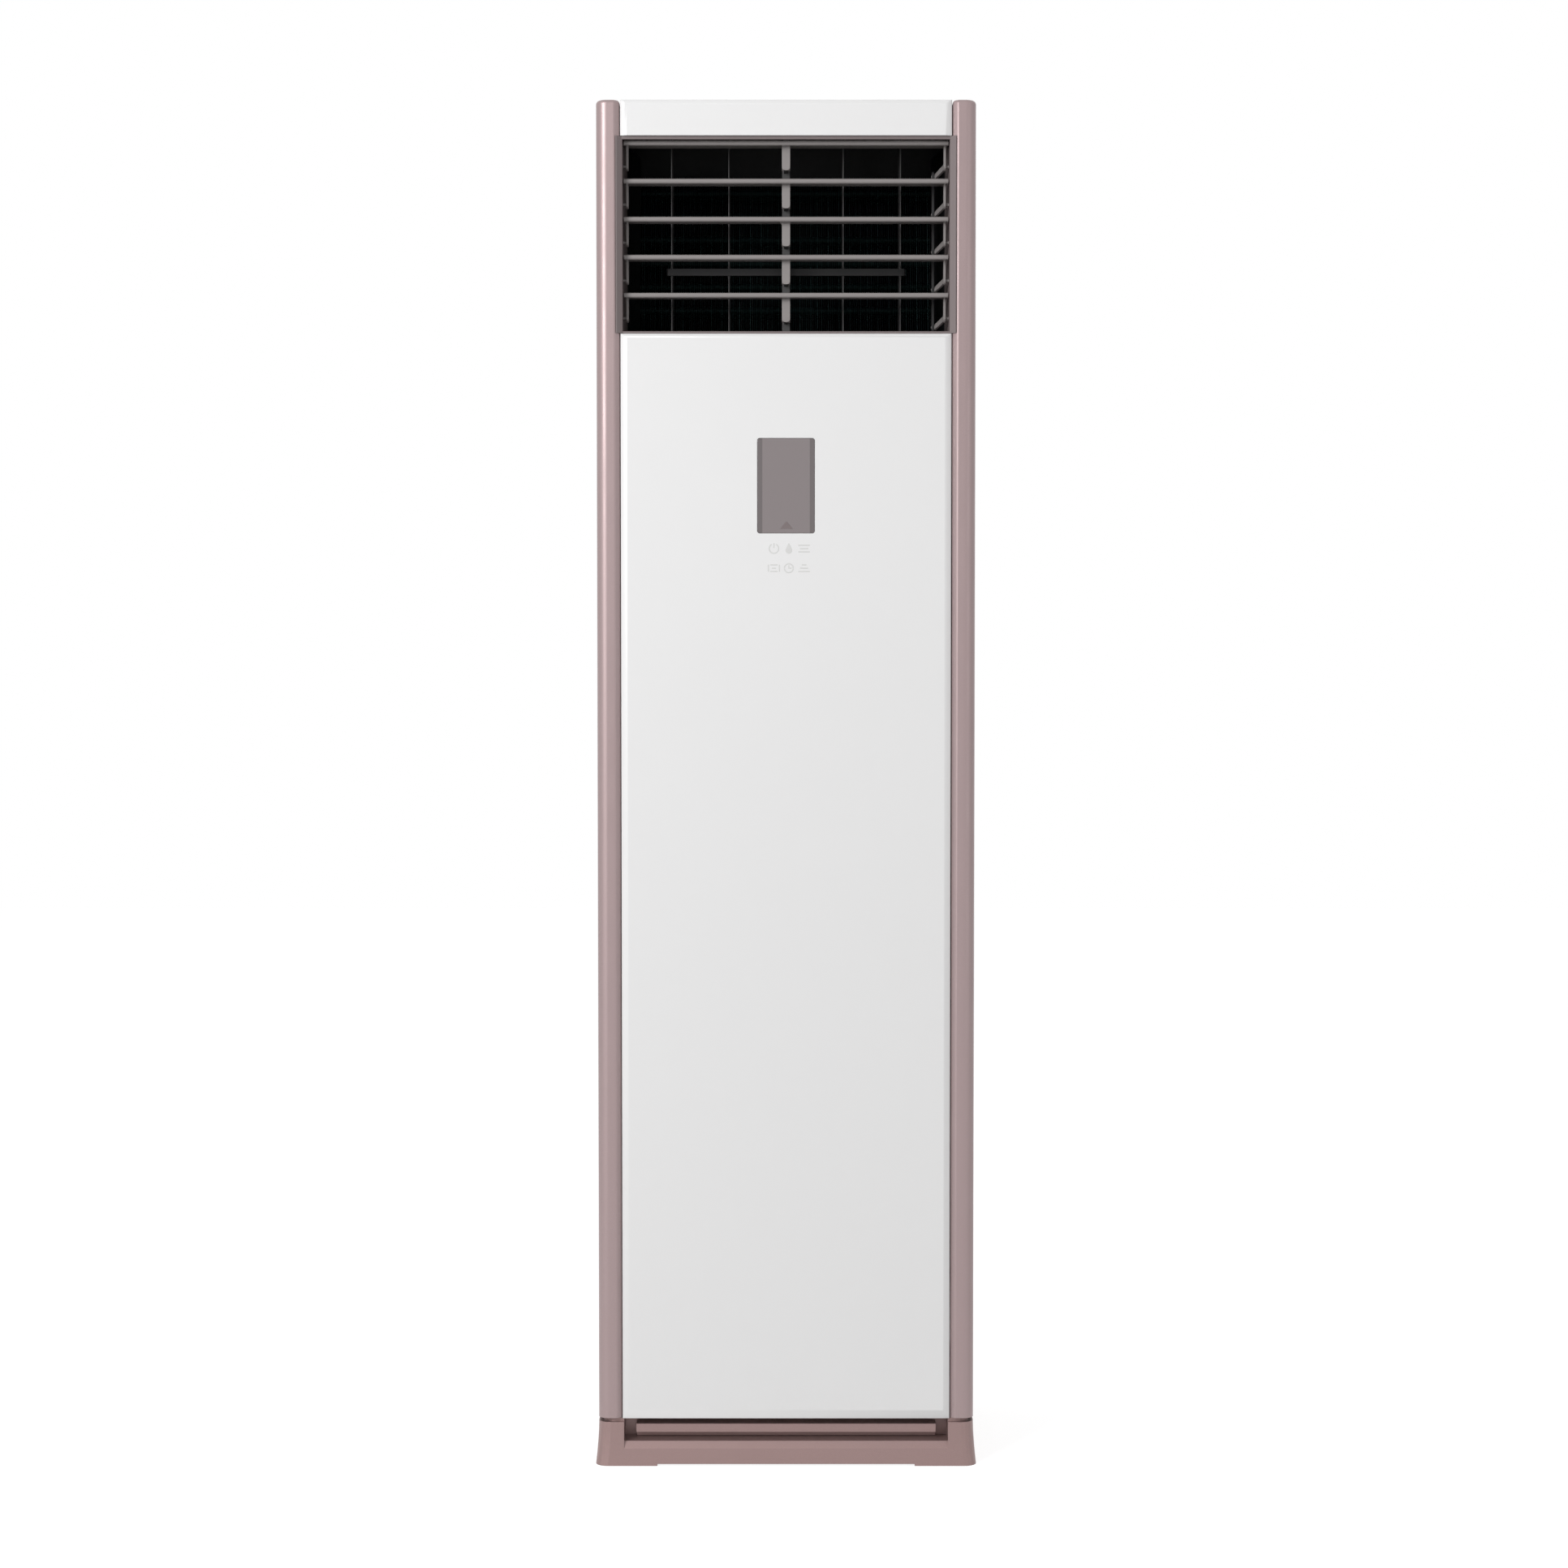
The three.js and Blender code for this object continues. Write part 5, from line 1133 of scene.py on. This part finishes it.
@dataclass
class Display(Assembly):
    """Window, its mark and the touch marks under it."""

    proud: float = 0.04
    sunk: float = 0.15
    columns: Point = (-15.5, 3.5, 23.0)
    rows: tuple[float, float] = (1181.0, 1156.0)

    def build(self) -> None:
        """Build the sub-assembly."""
        self.window()
        self.mark()
        self.keys()

    def window(self) -> None:
        """Smoked window with softly rounded edges."""
        outline = round_rect(-WINDOW_HALF, WINDOW_HALF, WINDOW_LOW, WINDOW_HIGH, 3.0, 10)
        shape = Shape()
        shape.prism(Axis.Y, outline, FRONT + self.sunk, FRONT + 3.7, 0.6)
        self.fit(shape, "fine_window", Slot.WINDOW, replaces=["display_window"])

    def mark(self) -> None:
        """A small dark triangle that points up."""
        x, z = 0.5, 1210.6
        outline = [(x - 8.0, z - 4.4), (x + 8.0, z - 4.4), (x + 0.9, z + 4.6), (x - 0.9, z + 4.6)]
        self.printed("window_mark", Slot.FRAME, self.sunk, [outline])

    def keys(self) -> None:
        """Six faint touch marks in two rows."""
        left, middle, right = self.columns
        upper, lower = self.rows
        marks = {
            "key_power": TouchSign(left, upper).power(),
            "key_drop": TouchSign(middle, upper).drop(),
            "key_flow": TouchSign(right, upper).bars(15.0, 11.0, 15.0),
            "key_frame": TouchSign(left, lower).framed(),
            "key_clock": TouchSign(middle, lower).clock(),
            "key_level": TouchSign(right, lower).bars(6.0, 10.5, 15.0),
        }
        for name, outlines in marks.items():
            self.printed(name, Slot.PAINTED, 0.0, outlines)

    def printed(self, name: str, slot: Slot, sunk: float, outlines: Iterable[Outline]) -> None:
        """A thin printed mark.

        Args:
            name: Name of the piece.
            slot: Slot of its finish.
            sunk: How far the face under it lies behind the panel's face.
            outlines: Strokes in (x, z).
        """
        shape = Shape()
        for outline in outlines:
            shape.prism(Axis.Y, outline, FRONT + sunk - self.proud, FRONT + 0.3)
        self.fit(shape, name, slot)


@dataclass
class Louvers(Assembly):
    """The five horizontal louvres, each built about its own pivot."""

    plate: float = 1.6
    lip: float = 3.25
    camber: float = 1.8
    ear_width: float = 3.0
    ear_inset: float = 2.5
    fork: tuple[float, float] = (3.1, 5.3)
    hinge: float = 2.2
    pin: float = 1.8
    edge: float = 0.4
    crank_pin: tuple[float, float] = (33.0, -8.0)
    crank_wall: float = 3.0

    def build(self) -> None:
        """Build the sub-assembly."""
        for row in range(LOUVER_COUNT):
            name = f"louver_{row + 1}"
            place = (0, PIVOT_Y, PIVOT_TOP - row * PITCH)
            shape = self.louver(row)
            self.fit(shape, "fine_" + name, Slot.LOUVER, name, [name], place, LOUVER_SMOOTH)

    def section(self) -> Outline:
        """Section of the plate with its rolled front edge.

        Returns:
            The outline in (y, z).
        """
        top, front, rear = PIVOT_DROP, -18.5, 27.0
        under = top - self.camber - self.plate
        hollow = [
            (front + self.lip + 1.6 * k, top - 2 * self.lip + 3.3 * math.sin(math.pi / 8 * k) ** 2)
            for k in range(1, 5)
        ]
        return [
            *arc(front + self.lip, top - self.lip, self.lip, 90, 270, 14),
            *hollow,
            (rear - 0.5, under),
            (rear, under + 0.4),
            (rear, under + self.plate - 0.4),
            (rear - 0.5, under + self.plate),
            (8.0, top - 0.6),
            (-6.0, top - 0.1),
        ]

    def ear(self) -> Outline:
        """Outline of a hanging ear with its rounded foot.

        Returns:
            The outline in (y, z).
        """
        top = PIVOT_DROP - self.plate - self.camber / 2
        return [(9.0, top), (-8.5, top), (-5.9, top - 4.0), *arc(0, 0, 5.5, 180, 360, 16), (6.4, 14.0)]

    def louver(self, row: int) -> Shape:
        """One louvre.

        Args:
            row: Row from the top, 0 to 4.

        Returns:
            The mesh about the pivot.
        """
        shape = Shape()
        shape.prism(Axis.X, self.section(), -LOUVER_HALF, LOUVER_HALF, self.edge)
        outer = LOUVER_HALF - self.ear_inset
        for side in (-1, 1):
            for near, far in ((outer - self.ear_width, outer), self.fork):
                low, high = sorted((side * near, side * far))
                shape.prism(Axis.X, self.ear(), low, high, self.edge)
            low, high = sorted((side * (outer - 1), side * (PANEL_HALF - 0.4)))
            shape.rod(Axis.X, self.hinge, low, high, 0, 0)
        foot = [*arc(-1.3, -1.3, 4.0, 180, 270, 6), *arc(1.3, -1.3, 4.0, 270, 360, 6)]
        wide = self.fork[1]
        shape.prism(Axis.Y, [*foot, (wide, 28.0), (-wide, 28.0)], -6.45, -4.55, self.edge)
        shape.rod(Axis.X, self.pin, -4.0, 4.0, 0, 0)
        if row == LOUVER_COUNT // 2:
            gusset = [(-9.5, 28.2), (-5.1, 28.2), (-5.1, 22.0)]
            shape.prism(Axis.Y, gusset, -6.2, -4.8, 0.3)
        self.crank(shape)
        return shape

    def crank(self, shape: Shape) -> None:
        """The arm and pin that the link bar joins.

        Args:
            shape: Mesh of the louvre.
        """
        root, wall = LOUVER_HALF - self.ear_inset, self.crank_wall
        tip = root - 10.0
        reach, drop = self.crank_pin
        steps, start = 6, 2.0
        rings = []
        for k in range(steps + 1):
            share = k / steps
            ease = share * share * (3 - 2 * share)
            x = root + (tip - root) * ease
            y, z = start + (reach - start) * share, drop * ease
            low, high = z - 3.5 + 0.5 * share, z + 3.5 - 0.5 * share
            rings.append([(x - wall, y, low), (x, y, low), (x, y, high), (x - wall, y, high)])
        shape.loft(rings)
        shape.rod(Axis.X, 4.0, tip - wall, tip, reach, drop)
        shape.rod(Axis.X, self.pin, tip - wall - 4.2, tip - 1, reach, drop)


@dataclass
class Coil(Assembly):
    """Thin evaporator fins, with the tubes that run through them."""

    count: int = 136
    length: float = 795.0
    half_width: float = 195.7
    thickness: float = 44.0
    tilt: float = 11.0
    fin: float = 0.3
    rows: int = 24
    tube: float = 4.8
    offset: float = 11.0
    foot: Point = (0, -40.0, 905.0)

    def build(self) -> None:
        """Build the sub-assembly."""
        shape = Shape()
        face = self.thickness / 2
        pitch = (2 * self.half_width - self.fin) / (self.count - 1)
        sheet = [(0.0, -face), (self.length, -face), (self.length, face), (0.0, face)]
        for i in range(self.count):
            x = -self.half_width + i * pitch
            shape.loft([[(along, v, u) for u, v in sheet] for along in (x, x + self.fin)])
        end = self.half_width - 0.1
        for i in range(self.rows):
            z = 20.0 + (self.length - 40.0) * i / (self.rows - 1)
            for y in (-self.offset, self.offset):
                shape.rod(Axis.X, self.tube, -end, end, y, z)
        turn = Matrix.Rotation(-math.radians(self.tilt), 4, "X")
        bmesh.ops.transform(shape.mesh, matrix=turn, verts=shape.mesh.verts)
        self.fit(shape, "fine_fins", Slot.FINS, replaces=["evaporator_fins"], place=self.foot)


@dataclass
class ShadeLining(Assembly):
    """Near-black sheets and air guides behind the outlet, shaped as a foam lining; their near-black
    colour is painted shade of the deep air space.
    """

    low: float = 908.0
    thick: float = 2.4
    edge: float = 0.6
    gap: float = 3.0
    guide_wall: float = 1.8
    guide_wide: float = 209.0
    guide_narrow: float = 195.0
    guide_front: float = -14.7
    guide_rear: Outline = field(default_factory=lambda: [(42.0, 1457.5), (80.0, 1655.0), (86.0, 1713.0)])

    def build(self) -> None:
        """Build the sub-assembly."""
        back = REAR - SHEET - SWAGE - SEAT
        inside = HALF - SHEET - SEAT
        top = HEIGHT - EDGE_RADIUS - SEAT
        # These sheets are near black as painted shade inside the cabinet
        rear = Shape()
        rear.prism(Axis.Y, plain_box(inside, self.low, top), back - self.thick, back, self.edge)
        self.fit(rear, "shade_lining_rear", Slot.DARK)
        end = back - self.gap
        lid = Shape()
        lid.prism(Axis.Z, plain_box(230.0, -13.0, end), top - self.thick, top, self.edge)
        self.fit(lid, "shade_lining_top", Slot.DARK)
        start, head = COLUMN_REAR + 2.0, 1731.0
        wall = [(start, self.low), (end, self.low), (end, head), (start, head)]
        for side, word in ((-1, "left"), (1, "right")):
            sheet = Shape()
            near, far = sorted((side * (inside - self.thick), side * inside))
            sheet.prism(Axis.X, wall, near, far, self.edge)
            self.fit(sheet, f"shade_lining_{word}", Slot.DARK)
            self.guide(side, word)

    def guide(self, side: int, word: str) -> None:
        """The slanted wall that leads the air from the coil to one cheek.

        Args:
            side: -1 on the left, 1 on the right.
            word: left or right.
        """
        front, wall = self.guide_front, self.guide_wall
        wide, narrow = self.guide_wide, self.guide_narrow
        shape = Shape()
        rings = []
        for rear, z in self.guide_rear:
            section = [(wide, front), (narrow, rear), (narrow + wall, rear), (wide + wall, front)]
            rings.append([(side * x, y, z) for x, y in section])
        shape.loft(rings)
        # The guides are near black as painted shade too
        self.fit(shape, f"air_guide_{word}", Slot.DARK)


@dataclass
class Screw:
    """A pan head screw with a cross recess."""

    radius: float = 3.4
    height: float = 1.3
    slot_half: float = 0.42
    slot_reach: float = 1.9
    slot_depth: float = 0.8

    def add(self, shape: Shape, place: Matrix) -> None:
        """Add the head to a mesh.

        Args:
            shape: Mesh to add to.
            place: Its seat; the head stands along the local Z.
        """
        steps, rings = 32, 9
        rows = []
        for k in range(rings):
            share = 1 - k / rings
            radius = self.radius * share
            dome = self.height * (1 - share**2.6)
            row = []
            for i in range(steps):
                turn = 2 * math.pi * i / steps
                x, y = radius * math.cos(turn), radius * math.sin(turn)
                short, long = sorted((abs(x), abs(y)))
                cut = short < self.slot_half and long < self.slot_reach
                row.append(place @ Vector((x, y, dome - (self.slot_depth if cut else 0.0))))
            rows.append(row)
        shape.loft(rows)


@dataclass
class Fasteners(Assembly):
    """Screws of the sheet metal cabinet."""

    rear_columns: Sequence[float] = (-130.0, 0.0, 130.0)
    rear_rows: Sequence[float] = (82.0, 590.0, 1180.0, 1725.0)
    side_columns: Sequence[float] = (-74.0, 148.0)
    side_rows: Sequence[float] = (80.0, 640.0, 1200.0, 1728.0)

    def build(self) -> None:
        """Build the sub-assembly."""
        seats = [(x, REAR - SWAGE, z) for x in self.rear_columns for z in self.rear_rows]
        self.screws("rear_screws", seats, Matrix.Rotation(-math.pi / 2, 4, "X"))
        for side, word in ((-1, "left"), (1, "right")):
            seats = [(side * HALF, y, z) for y in self.side_columns for z in self.side_rows]
            self.screws(f"side_screws_{word}", seats, Matrix.Rotation(side * math.pi / 2, 4, "Y"))

    def screws(self, name: str, seats: Iterable[Point], turn: Matrix) -> None:
        """A set of screws on one panel.

        Args:
            name: Name of the piece.
            seats: Where the heads sit.
            turn: Turns the head from +Z to the way that it faces.
        """
        shape = Shape()
        for seat in seats:
            Screw().add(shape, Matrix.Translation(seat) @ turn)
        self.fit(shape, name, Slot.STEEL, angle=SCREW_SMOOTH)


# Studio


@dataclass(frozen=True)
class Lamp:
    """One soft area light.

    Attributes:
        name: Name of the light.
        place: Where it hangs, in metres.
        aim: What it points at.
        size: Width and height in metres.
        power: Watts.
    """

    name: str
    place: Point
    aim: Point
    size: tuple[float, float]
    power: float

    def hang(self) -> None:
        """Add the light to the scene."""
        data = bpy.data.lights.new(self.name, "AREA")
        data.shape = "RECTANGLE"
        data.size, data.size_y = self.size
        data.energy = self.power
        made = bpy.data.objects.new(self.name, data)
        made.location = self.place
        way = Vector(self.aim) - Vector(self.place)
        made.rotation_euler = way.to_track_quat("-Z", "Y").to_euler()
        bpy.context.scene.collection.objects.link(made)


LAMPS = (
    Lamp("key", (-2.6, -3.6, 2.55), (0.0, 0.0, 0.95), (1.8, 2.2), 133.0),
    Lamp("fill", (2.9, -3.0, 1.4), (0.0, 0.0, 0.9), (1.6, 2.4), 8.0),
    Lamp("back", (0.4, 3.2, 2.6), (0.0, 0.0, 1.1), (2.4, 1.6), 14.0),
)


def seen(tree: bpy.types.NodeTree) -> bpy.types.NodeSocket:
    """One for rays from the camera and for mirrored or refracted ones, else zero.

    Args:
        tree: Node tree to add the nodes to.

    Returns:
        The value socket.
    """
    path = tree.nodes.new("ShaderNodeLightPath")
    value = path.outputs["Is Camera Ray"]
    for name in ("Is Glossy Ray", "Is Transmission Ray"):
        either = tree.nodes.new("ShaderNodeMath")
        either.operation = "MAXIMUM"
        tree.links.new(value, either.inputs[0])
        tree.links.new(path.outputs[name], either.inputs[1])
        value = either.outputs[0]
    return value


@dataclass
class Studio:
    """White floor and backdrop, soft lights and the camera of the photograph."""

    distance: float = 4.1535
    height: float = 1.035
    tilt: float = 2.2924
    lens: float = 71.8
    shift: tuple[float, float] = (-0.0013, 0.0027)
    sky: float = 0.45
    reach: float = 9.0

    def build(self) -> None:
        """Build the set."""
        self.floor()
        self.world()
        for lamp in LAMPS:
            lamp.hang()
        self.camera()

    def floor(self) -> None:
        """A pale floor that shows as white paper with the faint shadow of the unit."""
        graph = Graph("floor")
        speckle = graph.noise(60.0, 3.0)
        graph.set("Base Color", graph.blend(speckle, (0.42, 0.42, 0.42), (0.46, 0.46, 0.46)))
        graph.set("Roughness", 0.8)
        glow = graph.node("Emission")
        glow.inputs["Strength"].default_value = 0.82
        shadow = graph.node("BsdfDiffuse")
        shadow.inputs["Color"].default_value = (0.4, 0.4, 0.4, 1)
        paper = graph.node("AddShader")
        graph.link(glow.outputs[0], paper.inputs[0])
        graph.link(shadow.outputs[0], paper.inputs[1])
        mix = graph.node("MixShader")
        graph.link(seen(graph.tree), mix.inputs[0])
        graph.link(graph.shader.outputs[0], mix.inputs[1])
        graph.link(paper.outputs[0], mix.inputs[2])
        graph.link(mix.outputs[0], graph.tree.nodes["Material Output"].inputs["Surface"])
        sheet = bmesh.new()
        bmesh.ops.create_grid(sheet, x_segments=8, y_segments=8, size=self.reach)
        data = bpy.data.meshes.new("floor")
        sheet.to_mesh(data)
        sheet.free()
        data.materials.append(graph.material)
        made = bpy.data.objects.new("floor", data)
        bpy.context.scene.collection.objects.link(made)

    def world(self) -> None:
        """An even studio sky: white where it is seen, softer as a light."""
        world = bpy.data.worlds.new("studio")
        world.use_nodes = True
        nodes, links = world.node_tree.nodes, world.node_tree.links
        soft = nodes["Background"]
        soft.inputs["Color"].default_value = (1.0, 0.99, 0.99, 1)
        soft.inputs["Strength"].default_value = self.sky
        white = nodes.new("ShaderNodeBackground")
        white.inputs["Color"].default_value = (1, 1, 1, 1)
        mix = nodes.new("ShaderNodeMixShader")
        links.new(seen(world.node_tree), mix.inputs[0])
        links.new(soft.outputs[0], mix.inputs[1])
        links.new(white.outputs[0], mix.inputs[2])
        links.new(mix.outputs[0], nodes["World Output"].inputs["Surface"])
        bpy.context.scene.world = world

    def camera(self) -> None:
        """The camera of the photograph."""
        data = bpy.data.cameras.new("camera")
        data.lens = self.lens
        data.shift_x, data.shift_y = self.shift
        made = bpy.data.objects.new("camera", data)
        made.location = (0.0, -self.distance, self.height)
        made.rotation_euler = (math.radians(90 - self.tilt), 0, 0)
        bpy.context.scene.collection.objects.link(made)
        bpy.context.scene.camera = made
        bpy.context.scene.view_settings.view_transform = "Standard"


def corners(box: Sequence[Iterable[float]]) -> list[list[float]]:
    """The lowest and highest corner of a box as plain lists."""
    return [[float(value) for value in corner] for corner in box]


def main() -> None:
    """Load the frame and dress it."""
    logging.basicConfig(level=logging.INFO, format="%(name)s: %(message)s")
    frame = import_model()
    palette = Palette(FINISHES)
    palette.dress(frame)
    LOG.info("dressed %d nodes", len(frame["nodes"]))
    for kind in (FrontShell, Display, Louvers, Coil, ShadeLining, Fasteners):
        kind(frame, palette).build()
        LOG.info("built %s", kind.__name__)
    Studio().build()


if __name__ == "__main__":
    main()
